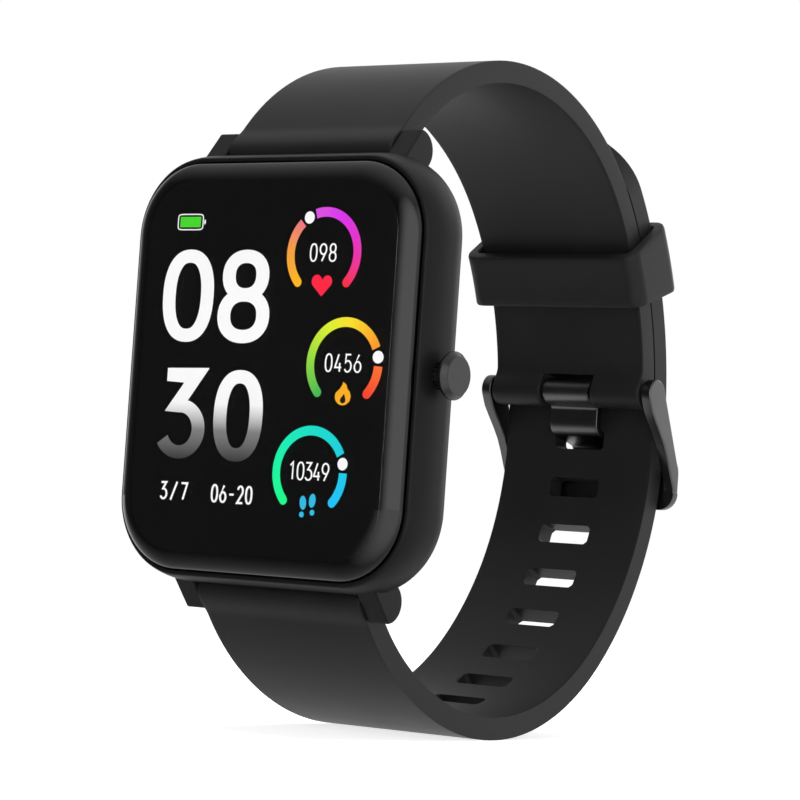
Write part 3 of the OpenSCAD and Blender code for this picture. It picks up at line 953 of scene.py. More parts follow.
@dataclass
class Studio:
    """Pale floor, soft lamps and the camera.

    Args:
        azimuth: Camera direction in degrees; 0 looks along +Y, and it turns towards +X.
        elevation: Camera height in degrees.
        roll: How far the camera leans, in degrees.
        distance: From the front of the glass to the camera.
        aside: Shift of the view to the right.
        below: Shift of the view downwards.
        lens: Focal length for a 36 mm wide sensor.
        glass_plane: Place of the front of the glass.
        ambient: Strength of the even light.
        floor_glow: Strength of the floor's own light.
        dim: Strength of the surround in front of the watch, as shines see it.
    """

    azimuth: float = 36.6
    elevation: float = -2.5
    roll: float = -3.96
    distance: float = 336.5
    aside: float = 13.65
    below: float = 3.32
    lens: float = 144.9
    glass_plane: float = -8.0
    ambient: float = 0.3
    floor_glow: float = 0.76
    dim: float = 0.06

    def build(self, floor_level: float) -> None:
        """Builds the whole studio.

        Args:
            floor_level: Lowest point of the watch.
        """
        self._camera()
        self._world()
        self._floor(floor_level)
        for lamp in (
            Lamp("key_right", (300, -330, 0), (0, 0, 0), (720, 460), 1.4),
            Lamp("fill_left", (-330, -160, 40), (-5, 10, 0), (120, 320), 0.2),
            Lamp("top_soft", (0, 60, 330), (0, 20, 0), (360, 300), 1.2),
            Lamp("back_soft", (60, 380, 120), (0, 30, 0), (300, 260), 0.2, mirrored=True),
        ):
            lamp.build()

    def _camera(self) -> None:
        """Places the camera."""
        a, e, r = (math.radians(v) for v in (self.azimuth, self.elevation, self.roll))
        back = Vector((math.sin(a) * math.cos(e), -math.cos(a) * math.cos(e), math.sin(e)))
        level_right = Vector((math.cos(a), math.sin(a), 0))
        level_up = back.cross(level_right)
        right = math.cos(r) * level_right - math.sin(r) * level_up
        up = math.sin(r) * level_right + math.cos(r) * level_up
        place = Vector((0, self.glass_plane, 0)) + back * self.distance + right * self.aside - up * self.below
        data = bpy.data.cameras.new("camera")
        data.lens = self.lens
        data.sensor_width = 36
        data.clip_start = 0.01
        camera = bpy.data.objects.new("camera", data)
        axes = Matrix((right, up, back)).transposed().to_4x4()
        camera.matrix_world = Matrix.Translation(place * MM) @ axes
        bpy.context.scene.collection.objects.link(camera)
        bpy.context.scene.camera = camera

    def _seen(self, tree: bpy.types.NodeTree, *names: str) -> bpy.types.NodeSocket:
        """Tells some rays from the others.

        Args:
            tree: A node tree.
            names: Rays, as the Light Path node names them.

        Returns:
            A socket that is 1 for the named rays and 0 for others.
        """
        path = tree.nodes.new("ShaderNodeLightPath")
        return greatest(tree, [path.outputs[f"Is {name} Ray"] for name in names])

    def _reflected(self, tree: bpy.types.NodeTree, *lights: Gleam) -> bpy.types.NodeSocket:
        """Finds the brightest of some lights.

        Args:
            tree: A node tree.
            lights: The lights.

        Returns:
            A socket with its strength.
        """
        place = tree.nodes.new("ShaderNodeTexCoord")
        return greatest(tree, [light.strength(tree, place) for light in lights])

    def _world(self) -> None:
        """Sets a white surround that lights the watch only gently."""
        scene = bpy.context.scene
        scene.view_settings.view_transform = "Standard"
        world = bpy.data.worlds.new("studio")
        scene.world = world
        world.use_nodes = True
        tree = world.node_tree
        mirrored = self._reflected(
            tree,
            Gleam("Generated", (0, 1, 0), -0.2, 0.9, self.dim, 1.0),
            Gleam("Generated", (1, -1, 0), 0.55, 0.9, 0, 1.7),
            Gleam("Generated", (1, 0.1, 0), 0.5, 0.9, 0, 0.85),
            Gleam("Generated", (0, 0, 1), 0.3, 1.0, 0, 0.75),
        )
        shown = tree.nodes["Background"]
        shown.inputs["Color"].default_value = (1, 1, 1, 1)
        tree.links.new(greatest(tree, [self._seen(tree, "Camera"), mirrored]), shown.inputs["Strength"])
        light = add_node(tree, "Background", {"Color": (1, 1, 1, 1), "Strength": self.ambient})
        seen = self._seen(tree, "Camera", "Glossy", "Transmission")
        mix = add_node(tree, "MixShader", {0: seen, 1: light.outputs[0], 2: shown.outputs[0]})
        tree.links.new(mix.outputs["Shader"], tree.nodes["World Output"].inputs["Surface"])

    def _floor(self, level: float) -> None:
        """Lays a wide pale floor under the watch.

        Args:
            level: Height of the floor.
        """
        bm = bmesh.new()
        bmesh.ops.create_grid(bm, x_segments=1, y_segments=1, size=6000 * MM)
        bmesh.ops.translate(bm, vec=(0, 0, level * MM), verts=bm.verts)
        floor = as_object("floor", bm)
        material, tree, shader = new_material("floor_white")
        shader.inputs["Base Color"].default_value = (0.85, 0.85, 0.85, 1)
        shader.inputs["Roughness"].default_value = 0.9
        shader.inputs["Specular IOR Level"].default_value = 0.0
        shader.inputs["Emission Color"].default_value = (1, 1, 1, 1)
        seen = self._seen(tree, "Camera", "Transmission")
        strength = add_node(tree, "Math", {0: seen, 1: self.floor_glow}, operation="MULTIPLY")
        tree.links.new(strength.outputs["Value"], shader.inputs["Emission Strength"])
        mirrored = add_node(tree, "Emission", {"Strength": self._reflected(
            tree,
            Gleam("Object", (0, 1, 0), -0.045, 0.03, self.dim, 1.0),
            Gleam("Object", (1, -1, 0), 0.4, 0.9, 0, 1.4, by_angle=True),
        )})
        sources = {0: self._seen(tree, "Glossy"), 1: shader.outputs["BSDF"], 2: mirrored.outputs["Emission"]}
        mix = add_node(tree, "MixShader", sources)
        tree.links.new(mix.outputs["Shader"], tree.nodes["Material Output"].inputs["Surface"])
        floor.data.materials.append(material)
        floor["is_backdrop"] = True


# ---- case and glass ----


@dataclass
class CaseShell:
    """The open case ring with its four lugs.

    Args:
        width: Widest point across.
        height: Longest point from 6 to 12 o'clock.
        corner: Corner radius.
        back_level: Level where it meets the back cover.
        belly_level: Level of the widest ring.
        rim_level: Level of its front edge.
        ledge_level: Level of the ledge under the glass.
        front_inset: Inset of its front edge.
        back_inset: Inset of its back edge.
        recess_inset: Inset of the wall around the glass.
        cavity_inset: Inset of the inner wall.
        edge: Radius of the front edge.
        lip: Size of the small chamfer inside the front edge.
        lug_gap: Distance between the lugs.
        lug_thickness: Thickness of a lug.
        pin: Place of the spring bar.
        relief: Radius of the hollow for the strap's end.
        pin_bore: Radius of the hole for a spring bar's tip.
        pin_depth: Depth of that hole.
        crown_level: Level of the crown's axis.
        crown_bore: Radius of the crown's bore.
        crown_wall: Where the crown's bore starts and ends.
        lug_edge: Radius of the lugs' edges.
        cell: Greatest height of a cell of the side.
        corner_steps: Segments in each corner.
    """

    width: float = 39.8
    height: float = 45.8
    corner: float = 9.0
    back_level: float = 1.7
    belly_level: float = 4.3
    rim_level: float = 8.0
    ledge_level: float = 7.2
    front_inset: float = 0.65
    back_inset: float = 0.8
    recess_inset: float = 1.1
    cavity_inset: float = 2.9
    edge: float = 0.14
    lip: float = 0.06
    lug_gap: float = 22.0
    lug_thickness: float = 2.6
    pin: Point = (-2.4, 23.5)
    relief: float = 2.05
    pin_bore: float = 0.5
    pin_depth: float = 1.1
    crown_level: float = 4.85
    crown_bore: float = 1.42
    crown_wall: Point = (16, 21)
    lug_edge: float = 0.22
    cell: float = 0.42
    corner_steps: int = 20

    def side(self, level: float) -> float:
        """Works out the barrelled side.

        Args:
            level: A level.

        Returns:
            The inset of the side at the level.
        """
        if level >= self.belly_level:
            share = (level - self.belly_level) / (self.rim_level - self.belly_level)
            return self.front_inset * share**2.3
        share = (self.belly_level - level) / (self.belly_level - self.back_level)
        return self.back_inset * share**3

    def build(self) -> None:
        """Builds the case as one piece."""
        bm = bmesh.new()
        stack = RoundedStack(bm, self.width, self.height, self.corner, self.corner_steps)
        top = self.rim_level
        levels = between([self.back_level + 0.12, self.belly_level, top - self.edge], self.cell)
        stack.ring(self.back_inset + 0.1, self.back_level)
        stack.rings([(self.side(level), level) for level in levels])
        for share in (0.35, 0.7, 1.0):
            turn = math.radians(90 * share)
            inset = self.front_inset + self.edge * (1 - math.cos(turn))
            stack.ring(inset, top - self.edge * (1 - math.sin(turn)))
        stack.rings([
            (self.recess_inset - self.lip, top), (self.recess_inset, top - self.lip),
            (self.recess_inset, self.ledge_level), (self.cavity_inset, self.ledge_level),
            (self.cavity_inset, self.back_level),
        ])
        stack.join_ends()
        face_forward(bm)
        Piece("case_shell", "case", (CASE_BLACK,), ("mid_case",), "case_paint").build(
            bm, [Cutter(self._lugs(), "UNION"), *self._bores()]
        )

    def _lugs(self) -> bmesh.types.BMesh:
        """Draws the four lugs with soft edges.

        Returns:
            The lugs.
        """
        bm = bmesh.new()
        outline = Outline(bm, (-2.45, 25.7)).arc(self.pin, -136.4, 14)
        outline.line((-1.6, 21.1), (-1.9, 19.8), (-6.2, 19.8), (-6.2, 21.09))
        thicken(bm, [outline.fill()], self.lug_thickness)
        soften(bm, sharp_edges(bm, 50), self.lug_edge, 3)
        turned_sideways(bm, bm.verts)
        bmesh.ops.translate(bm, vec=(self.lug_gap / 2, 0, 0), verts=bm.verts)
        for axis in ("X", "Z"):
            mirror(bm, axis)
        return bm

    def _bores(self) -> list[Cutter]:
        """Lists the relief for each strap end, the pin bores and the crown's bore.

        Returns:
            The cutters.
        """
        half = self.lug_gap / 2
        cuts = []
        for side in (-1, 1):
            y, z = self.pin[0], side * self.pin[1]
            cuts.append(Cutter(round_bar(y, z, -half, half, self.relief, 48)))
            reach = half + self.pin_depth
            cuts.append(Cutter(round_bar(y, z, -reach, reach, self.pin_bore, 20)))
        cuts.append(Cutter(round_bar(-self.crown_level, 0, *self.crown_wall, self.crown_bore, 40)))
        return cuts


@dataclass
class CoverGlass:
    """The domed cover glass with black print on its underside.

    Args:
        width: Width.
        height: Height.
        corner: Corner radius.
        foot: Level of its underside edge.
        shoulder: Level where the dome starts.
        top: Level of its flat middle.
        roll_off: Width of the curved border.
        pocket_inset: Inset of the display pocket.
        pocket_level: Level of the pocket's ceiling.
        border: Width of the border that the print makes black.
        chamfer: Size of the chamfer at its foot.
        fall: Power of the curve by which the dome falls off.
        crowding: Power by which the rings crowd towards the shoulder.
        steps: Number of rings in the dome.
        corner_steps: Segments in each corner.
    """

    width: float = 37.4
    height: float = 43.4
    corner: float = 7.8
    foot: float = 7.35
    shoulder: float = 8.0
    top: float = 9.9
    roll_off: float = 5.2
    pocket_inset: float = 1.2
    pocket_level: float = 9.0
    border: float = 2.0
    chamfer: float = 0.1
    fall: float = 2.7
    crowding: float = 1.8
    steps: int = 26
    corner_steps: int = 20

    def dome(self, inset: float) -> float:
        """Returns the level of the dome at an inset."""
        share = min(1.0, inset / self.roll_off)
        return self.shoulder + (self.top - self.shoulder) * math.sqrt(1 - (1 - share) ** self.fall)

    def build(self) -> None:
        """Builds the glass as one closed piece: clear dome, black border, printed foot and pocket ceiling."""
        bm = bmesh.new()
        stack = RoundedStack(bm, self.width, self.height, self.corner, self.corner_steps)
        stack.rings([(self.chamfer, self.foot), (0, self.foot + self.chamfer), (0, self.shoulder)])
        insets = [self.roll_off * (k / self.steps) ** self.crowding for k in range(1, self.steps + 1)]
        border = list(bm.faces)
        for inset in insets:
            ring = stack.ring(inset, self.dome(inset))
            border += ring if inset < self.border else []
        for face in border:
            face.material_index = 2
        stack.cap().material_index = 0
        stack.edges = stack.first
        printed = stack.ring(self.pocket_inset, self.foot) + stack.ring(self.pocket_inset, self.pocket_level)
        stack.cap().material_index = 3
        for face in printed:
            face.material_index = 1
        face_forward(bm)
        finishes = (CLEAR, MASK, BORDER, BONDED)
        Piece("glass_dome", "case", finishes, ("cover_glass",), "cover_glass", 60).build(bm)


# ---- display art ----


def plain(name: str, colour: Colour) -> Glow:
    """Returns a light of one colour."""
    return Glow(name, ((0.0, colour), (1.0, colour)))


WHITE = plain("lit_white", (1, 1, 1))


def loop_arc(
    centre: Point, radii: Point, start: float, end: float, count: int = 24, square: float = 2.0
) -> list[Point]:
    """Returns points on part of an oval.

    Args:
        centre: Its middle.
        radii: Its half width and half height.
        start: First angle in degrees.
        end: Last angle in degrees.
        count: Number of steps.
        square: 2 for an ellipse, more for a squarer oval.

    Returns:
        The points, both ends included.
    """
    points = []
    for k in range(count + 1):
        a = math.radians(start + (end - start) * k / count)
        c, s = math.cos(a), math.sin(a)
        points.append((
            centre[0] + radii[0] * math.copysign(abs(c) ** (2 / square), c),
            centre[1] + radii[1] * math.copysign(abs(s) ** (2 / square), s),
        ))
    return points


# Centre lines of the signs in a box from (0, 0) to (1, 1). A line that ends where it starts is closed.
SIGNS: dict[str, tuple[list[Point], ...]] = {
    "0": (loop_arc((0.5, 0.5), (0.5, 0.5), 90, 450, 48, 2.35),),
    "1": ([(0.16, 0.8), (0.58, 1.0), (0.58, 0.0)],),
    "2": (loop_arc((0.5, 0.72), (0.46, 0.28), 165, -35, 20) + [(0.02, 0.0), (1.0, 0.0)],),
    "3": ([(0.02, 1.0), (0.86, 1.0), (0.34, 0.605)] + loop_arc((0.47, 0.3), (0.53, 0.3), 95, -152, 30),),
    "4": ([(0.52, 1.0), (0.0, 0.24), (1.0, 0.24)], [(0.74, 0.5), (0.74, 0.0)]),
    "5": ([(0.92, 1.0), (0.16, 1.0), (0.1, 0.54)] + loop_arc((0.47, 0.32), (0.53, 0.32), 120, -150, 30),),
    "6": ([(0.66, 1.0)] + loop_arc((0.5, 0.3), (0.5, 0.3), 150, -210, 36),),
    "7": ([(0.0, 1.0), (1.0, 1.0), (0.36, 0.0)],),
    "8": (
        loop_arc((0.5, 0.76), (0.43, 0.24), -90, 270, 40, 2.2),
        loop_arc((0.5, 0.26), (0.5, 0.26), 90, 450, 40, 2.2),
    ),
    "9": ([(0.34, 0.0)] + loop_arc((0.5, 0.7), (0.5, 0.3), -30, 330, 36),),
    "-": ([(0.1, 0.48), (0.9, 0.48)],),
    "/": ([(0.0, -0.06), (1.0, 1.06)],),
}


def ribbon(bm: bmesh.types.BMesh, points: Sequence[Point], upright: float, flat: float) -> None:
    """Draws a flat stroke along points.

    Args:
        bm: The mesh to draw in.
        points: Centre line. It is closed if its ends meet.
        upright: Width of the stroke where it runs upwards.
        flat: Width of the stroke where it runs across.
    """
    closed = math.dist(points[0], points[-1]) < 1e-6
    known = set(bm.verts)
    steps = len(points) - 1
    bmesh.ops.create_grid(bm, x_segments=steps, y_segments=1, size=0.5)
    for vert in [v for v in bm.verts if v not in known]:
        k = round((vert.co.x + 0.5) * steps)
        before = points[k - 1] if k > 0 else (points[-2] if closed else None)
        after = points[k + 1] if k < steps else (points[1] if closed else None)
        here = Vector(points[k])
        ways = [(here - Vector(before)).normalized()] if before else []
        ways += [(Vector(after) - here).normalized()] if after else []
        way = sum(ways, Vector((0, 0))).normalized()
        normal = Vector((-way.y, way.x))
        mitre = max(0.45, normal.dot(Vector((-ways[0].y, ways[0].x))))
        half = math.hypot(upright * normal.x, flat * normal.y) / 2 / mitre
        spot = here + normal * (half if vert.co.y > 0 else -half)
        vert.co = (spot.x, spot.y, 0)


def disc(bm: bmesh.types.BMesh, centre: Point, radii: Point, segments: int = 28, lean: float = 0.0) -> None:
    """Draws a filled oval.

    Args:
        bm: The mesh to draw in.
        centre: Its middle.
        radii: Its half width and half height.
        segments: Number of its sides.
        lean: Its lean in degrees.
    """
    turn = Matrix.Translation((*centre, 0)) @ Matrix.Rotation(math.radians(lean), 4, "Z")
    size = Matrix.Diagonal((radii[0], radii[1], 1, 1))
    bmesh.ops.create_circle(bm, cap_ends=True, segments=segments, radius=1, matrix=turn @ size)


@dataclass
class DisplayArt:
    """The lit watch face: numerals, three progress rings and small signs, under the glass.

    Args:
        level: Level of the lit layer.
        depth: Thickness of the lit layer.
        ring_radius: Radius of a ring's centre line.
        ring_width: Width of a ring.
        ring_gap: Half of the angle that a ring leaves open at the bottom.
        knob_radius: Radius of a ring's knob.
        knob_clear: How far the ring stops short of the knob's middle.
    """

    level: float = 8.955
    depth: float = 0.012
    ring_radius: float = 4.34
    ring_width: float = 1.0
    ring_gap: float = 47.0
    knob_radius: float = 0.64
    knob_clear: float = 0.95

    def build(self) -> None:
        """Builds every lit piece."""
        self._numbers("hours", "08", (-10.65, 7.37), (7.0, 9.85), 7.72, (1.74, 1.4), WHITE)
        fade = Glow("lit_fading", (
            (0.0, srgb(52, 52, 52)), (0.33, srgb(128, 128, 128)), (0.62, srgb(250, 250, 250)),
            (1.0, (1, 1, 1)),
        ), -10.0, -0.3)
        self._numbers("minutes", "30", (-10.4, -5.17), (6.6, 9.6), 7.72, (1.74, 1.4), fade)
        self._numbers("date", "06-20", (-5.1, -13.4), (0.98, 1.95), 1.16, (0.25, 0.22), WHITE)
        self._numbers("day_of_week", "3/7", (-12.1, -13.4), (1.05, 1.95), 1.4, (0.25, 0.22), WHITE)
        self._ring("pulse", (7.2, 11.9), 120, "098", (
            (0.12, srgb(255, 186, 18)), (0.27, srgb(250, 160, 66)), (0.38, srgb(240, 120, 130)),
            (0.45, srgb(222, 84, 226)), (0.58, srgb(222, 50, 240)), (0.76, srgb(236, 50, 168)),
            (0.88, srgb(250, 44, 56)),
        ))
        self._ring("energy", (10.78, 0.55), 11, "0456", (
            (0.12, srgb(66, 186, 84)), (0.27, srgb(150, 222, 60)), (0.42, srgb(222, 240, 46)),
            (0.52, srgb(250, 226, 40)), (0.64, srgb(255, 170, 36)), (0.76, srgb(255, 112, 48)),
            (0.88, srgb(248, 66, 46)),
        ))
        self._ring("steps", (7.31, -10.7), 14, "10349", (
            (0.12, srgb(24, 255, 140)), (0.3, srgb(20, 246, 172)), (0.5, srgb(18, 226, 204)),
            (0.68, srgb(20, 210, 226)), (0.88, srgb(26, 196, 250)),
        ))
        self._heart((7.23, 8.62))
        self._flame((10.95, -2.5))
        self._soles((7.35, -13.95))
        self._battery((-11.04, 15.24))

    def _finish(self, name: str, bm: bmesh.types.BMesh, glow: Glow, lift: float = 0.0) -> None:
        """Gives flat art its thickness, and puts it on the panel.

        Args:
            name: Name of the piece.
            bm: Flat art.
            glow: Its light.
            lift: How much higher than the panel it starts.
        """
        bmesh.ops.remove_doubles(bm, verts=bm.verts, dist=0.002)
        thicken(bm, list(bm.faces), self.depth)
        bmesh.ops.translate(bm, vec=(0, 0, self.level + lift), verts=bm.verts)
        face_forward(bm)
        Piece(name, "case", (glow,), (), "display", 30).build(bm)

    def _numbers(
        self, name: str, text: str, first: Point, size: Point, pitch: float, stroke: Point, glow: Glow
    ) -> None:
        """Draws a row of numerals.

        Args:
            name: Name of the piece.
            text: The numerals.
            first: Middle of the first one.
            size: Outer width and height of one.
            pitch: Distance between two.
            stroke: Width of an upright and of a flat stroke.
            glow: Its light.
        """
        bm = bmesh.new()
        width, height = size[0] - stroke[0], size[1] - stroke[1]
        for place, sign in enumerate(text):
            left, low = first[0] + place * pitch - width / 2, first[1] - height / 2
            for line in SIGNS[sign]:
                ribbon(bm, [(left + x * width, low + z * height) for x, z in line], *stroke)
        self._finish(name, bm, glow)

    def _ring(
        self, name: str, centre: Point, knob: float, text: str, stops: tuple[tuple[float, Colour], ...]
    ) -> None:
        """Draws a progress ring with its knob and number.

        Args:
            name: Name of the ring.
            centre: Its middle.
            knob: Angle of the knob in degrees.
            text: The number inside.
            stops: Colours, clockwise from 6 o'clock.
        """
        radii = (self.ring_radius, self.ring_radius)
        clear = math.degrees(self.knob_clear / self.ring_radius)
        start, end = -90 - self.ring_gap, -90 + self.ring_gap - 360
        passed = knob - 360
        bm = bmesh.new()
        for low, high, tip in ((start, passed + clear, 0), (passed - clear, end, -1)):
            points = loop_arc(centre, radii, low, high, max(4, round(abs(high - low) / 5)))
            ribbon(bm, points, self.ring_width, self.ring_width)
            disc(bm, points[tip], (self.ring_width / 2, self.ring_width / 2), 24)
        self._finish(f"{name}_ring", bm, Glow(f"lit_{name}", stops, centre=centre), -0.002)
        bm = bmesh.new()
        angle = math.radians(knob)
        spot = (centre[0] + radii[0] * math.cos(angle), centre[1] + radii[1] * math.sin(angle))
        disc(bm, spot, (self.knob_radius, self.knob_radius), 32)
        self._finish(f"{name}_knob", bm, WHITE)
        pitch = 1.25 if len(text) < 5 else 1.08
        first = (centre[0] - 0.08 - pitch * (len(text) - 1) / 2, centre[1] + 0.12)
        self._numbers(f"{name}_number", text, first, (1.0, 1.94), pitch, (0.19, 0.17), WHITE)

    def _heart(self, centre: Point) -> None:
        """Draws a heart.

        Args:
            centre: Its middle.
        """
        x, z = centre
        bm = bmesh.new()
        outline = Outline(bm, (x, z - 1.15)).line((x + 0.55, z - 0.62), (x + 1.12, z - 0.02))
        outline.arc((x + 0.68, z + 0.42), 208, 14).line((x, z + 0.62))
        outline.line((x - 0.05, z + 0.68)).arc((x - 0.68, z + 0.42), 195, 14)
        outline.line((x - 0.55, z - 0.62)).fill()
        self._finish("heart_sign", bm, plain("lit_red", srgb(255, 32, 66)))

    def _flame(self, centre: Point) -> None:
        """Draws a flame with an open middle.

        Args:
            centre: Its middle.
        """
        x, z = centre
        bm = bmesh.new()
        body = loop_arc((x, z - 0.25), (1.02, 0.9), -60, -205, 18)
        body += [(x - 0.42, z + 0.55), (x - 0.12, z + 1.0), (x - 0.05, z + 1.25), (x + 0.38, z + 0.95)]
        body += [(x + 0.55, z + 0.5), (x + 0.82, z + 0.3), (x + 1.02, z - 0.2), (x + 0.9, z - 0.72)]
        Outline(bm, body[0]).line(*body[1:], (x + 0.5, z - 1.03)).fill()
        self._finish("flame_sign", bm, plain("lit_orange", srgb(255, 178, 30)), -0.003)
        bm = bmesh.new()
        heart = loop_arc((x + 0.02, z - 0.62), (0.36, 0.34), -200, 20, 14)
        Outline(bm, heart[0]).line(*heart[1:], (x + 0.16, z + 0.05)).fill()
        self._finish("flame_middle", bm, plain("unlit", (0.004, 0.004, 0.004)))

    def _soles(self, centre: Point) -> None:
        """Draws two shoe soles.

        Args:
            centre: Their middle.
        """
        x, z = centre
        bm = bmesh.new()
        for side, rise in ((-1, -0.12), (1, 0.14)):
            disc(bm, (x + side * 0.6, z + 0.25 + rise), (0.42, 0.72), 26, side * -6)
            disc(bm, (x + side * 0.68, z - 0.97 + rise), (0.3, 0.3), 22)
        self._finish("steps_sign", bm, plain("lit_blue", srgb(48, 190, 232)))

    def _battery(self, centre: Point) -> None:
        """Draws a battery sign with its charge.

        Args:
            centre: Its middle.
        """
        x, z = centre
        outline, charge = bmesh.new(), bmesh.new()
        ribbon(outline, loop_arc((x, z), (1.72, 0.82), 90, 450, 60, 7.0), 0.13, 0.12)
        disc(outline, (x + 1.98, z), (0.1, 0.28), 16)
        self._finish("battery_frame", outline, WHITE)
        left, right, low, high = x - 1.42, x + 1.42, z - 0.56, z + 0.56
        Outline(charge, (left, low)).line((right, low), (right, high), (left, high)).fill()
        self._finish("battery_charge", charge, plain("lit_green", srgb(70, 216, 44)))


# ---- strap ----

UPPER_PATH = ArcPath((-2.4, 23.5), 56.5, ((25, -34.5), (27.5, -36), (28.5, -40.5), (41, -29)), -1)
LOWER_PATH = ArcPath(
    (-2.4, -23.5), -59,
    ((26, 22.5), (30, 34.5), (28.5, 45.5), (35.2, 46), (65.1, 7), (43.7, 29), (31.2, 40.5)), 1,
)
BAR: Point = (49.3, 2.05)


@dataclass
class StrapShape:
    """Measures that both straps share.

    Args:
        width: Width at the lugs.
        end_width: Width at the buckle.
        half: Half of the thickness.
        knuckle: Radius of the end that goes around the lug's bar.
        rim: Radius of the rims.
        rim_steps: Segments of a rim.
        bore: Radius of the bar's hole.
        cell: Greatest length of a cell of the mesh.
        cell_width: Greatest width of a cell of the mesh.
        rim_cell: Width of the cells along both rims.
        taper_start: How far back it starts to narrow.
        knuckle_fade: Distance over which the knuckle thins down to the strap.
        bore_reach: Half length of the tool that cuts a bore, past both sides.
    """

    width: float = 21.8
    end_width: float = 20.7
    half: float = 1.25
    knuckle: float = 1.7
    rim: float = 0.13
    rim_steps: int = 2
    bore: float = 0.8
    cell: float = 1.0
    cell_width: float = 2.4
    rim_cell: float = 0.55
    taper_start: float = -0.4
    knuckle_fade: float = 2.6
    bore_reach: float = 12.0

    def half_width(self, path: ArcPath, distance: float) -> float:
        """Narrows the strap evenly from the lugs to the buckle.

        Args:
            path: The strap's path.
            distance: Distance along it.

        Returns:
            The half width.
        """
        y = path.at(distance)[0]
        share = max(0.0, min(1.0, (y - self.taper_start) / (BAR[0] - self.taper_start)))
        return (self.width + share * (self.end_width - self.width)) / 2

    def knuckle_skin(self, distance: float) -> float:
        """Thickens the strap around the lug's bar.

        Args:
            distance: Distance along the path.

        Returns:
            The half thickness.
        """
        if distance <= 0:
            return math.sqrt(max(0.03, self.knuckle**2 - distance**2))
        return self.half + (self.knuckle - self.half) * (1 - ease(distance / self.knuckle_fade))

    def columns(self, marks: Sequence[float]) -> list[float]:
        """Lists places across the strap.

        Args:
            marks: Places that are needed on both sides.

        Returns:
            The marks, the rims and even stops between them.
        """
        edge = self.width / 2
        inner = sorted({m for mark in marks for m in (-mark, mark)})
        return between([-edge, self.rim_cell - edge, *inner, edge - self.rim_cell, edge], self.cell_width)

    def bar_bore(self, place: Point) -> Cutter:
        """Returns the bore for a bar at (back, up)."""
        return Cutter(round_bar(*place, -self.bore_reach, self.bore_reach, self.bore))

    def knuckle_rows(self) -> list[float]:
        """Returns places along the round end."""
        return [-self.knuckle, -1.25, -0.82, -0.4, 0.0, 0.4, 0.8, 1.2, 1.6, 2.0, 2.4, 2.8]


@dataclass
class LongStrap(StrapShape):
    """The strap below the case, with its row of slots and its free tail.

    Args:
        first_slot: Place of the first slot.
        slot_pitch: Distance between two slots.
        slot_count: Number of slots.
        slot_width: Width of a slot.
        slot_height: Height of a slot.
        slot_corner: Radius of a slot's corners.
        tip: Where the tail ends.
        tip_radius: Radius of its end, seen flat.
    """

    first_slot: float = 37.5
    slot_pitch: float = 6.0
    slot_count: int = 12
    slot_width: float = 6.9
    slot_height: float = 2.4
    slot_corner: float = 0.55
    tip: float = 118.8
    tip_radius: float = 9.0

    def build(self) -> None:
        """Builds the strap as one piece."""
        half_slot = self.slot_width / 2
        rows = self.knuckle_rows()
        marks = [rows[-1]]
        for k in range(self.slot_count):
            centre = self.first_slot + k * self.slot_pitch
            low, high = centre - self.slot_height / 2, centre + self.slot_height / 2
            marks += [low - 0.5, low, low + self.slot_corner, high - self.slot_corner, high, high + 0.5]
        tip_start = self.tip - self.tip_radius
        turns = (0, 15, 30, 42, 52, 61, 69, 76)
        tips = [tip_start + self.tip_radius * math.sin(math.radians(turn)) for turn in turns]
        rows += between(marks + tips + [self.tip], self.cell)[1:]
        columns = self.columns((half_slot - self.slot_corner, half_slot, half_slot + 0.5))
        slab = BentSlab(
            LOWER_PATH, columns, rows, self.half, self.rim, self._skin, self._half_width, self._in_slot,
            self.rim_steps, self.slot_corner,
        )
        nodes = ("lower_strap", "strap_tail")
        Piece("long_strap", "lower_strap", (SILICONE,), nodes, "strap_silicone", 50).build(
            slab.mesh(), [self.bar_bore(LOWER_PATH.start)]
        )

    def _skin(self, distance: float) -> tuple[float, float]:
        """Returns the inner and outer face offsets."""
        thick = self.knuckle_skin(distance)
        return thick, thick

    def _half_width(self, distance: float) -> float:
        """Rounds the strap off towards its tip.

        Args:
            distance: Distance along the path.

        Returns:
            The half width.
        """
        wide = self.half_width(LOWER_PATH, distance)
        past = distance - (self.tip - self.tip_radius)
        if past > 0:
            wide += math.sqrt(max(0.0, self.tip_radius**2 - past**2)) - self.tip_radius
        return wide

    def _in_slot(self, x: float, distance: float) -> bool:
        """Tells the slots' cells from the others; a slot's four corner cells stay filled.

        Args:
            x: Across of the cell.
            distance: Distance along the path.

        Returns:
            Whether the cell is part of a slot.
        """
        place = (distance - self.first_slot) / self.slot_pitch
        nearest = round(place)
        if not 0 <= nearest < self.slot_count:
            return False
        off = abs(distance - self.first_slot - nearest * self.slot_pitch)
        past = (abs(x) - self.slot_width / 2, off - self.slot_height / 2)
        return max(past) < 0 and min(past) < -self.slot_corner or max(past) < -self.slot_corner


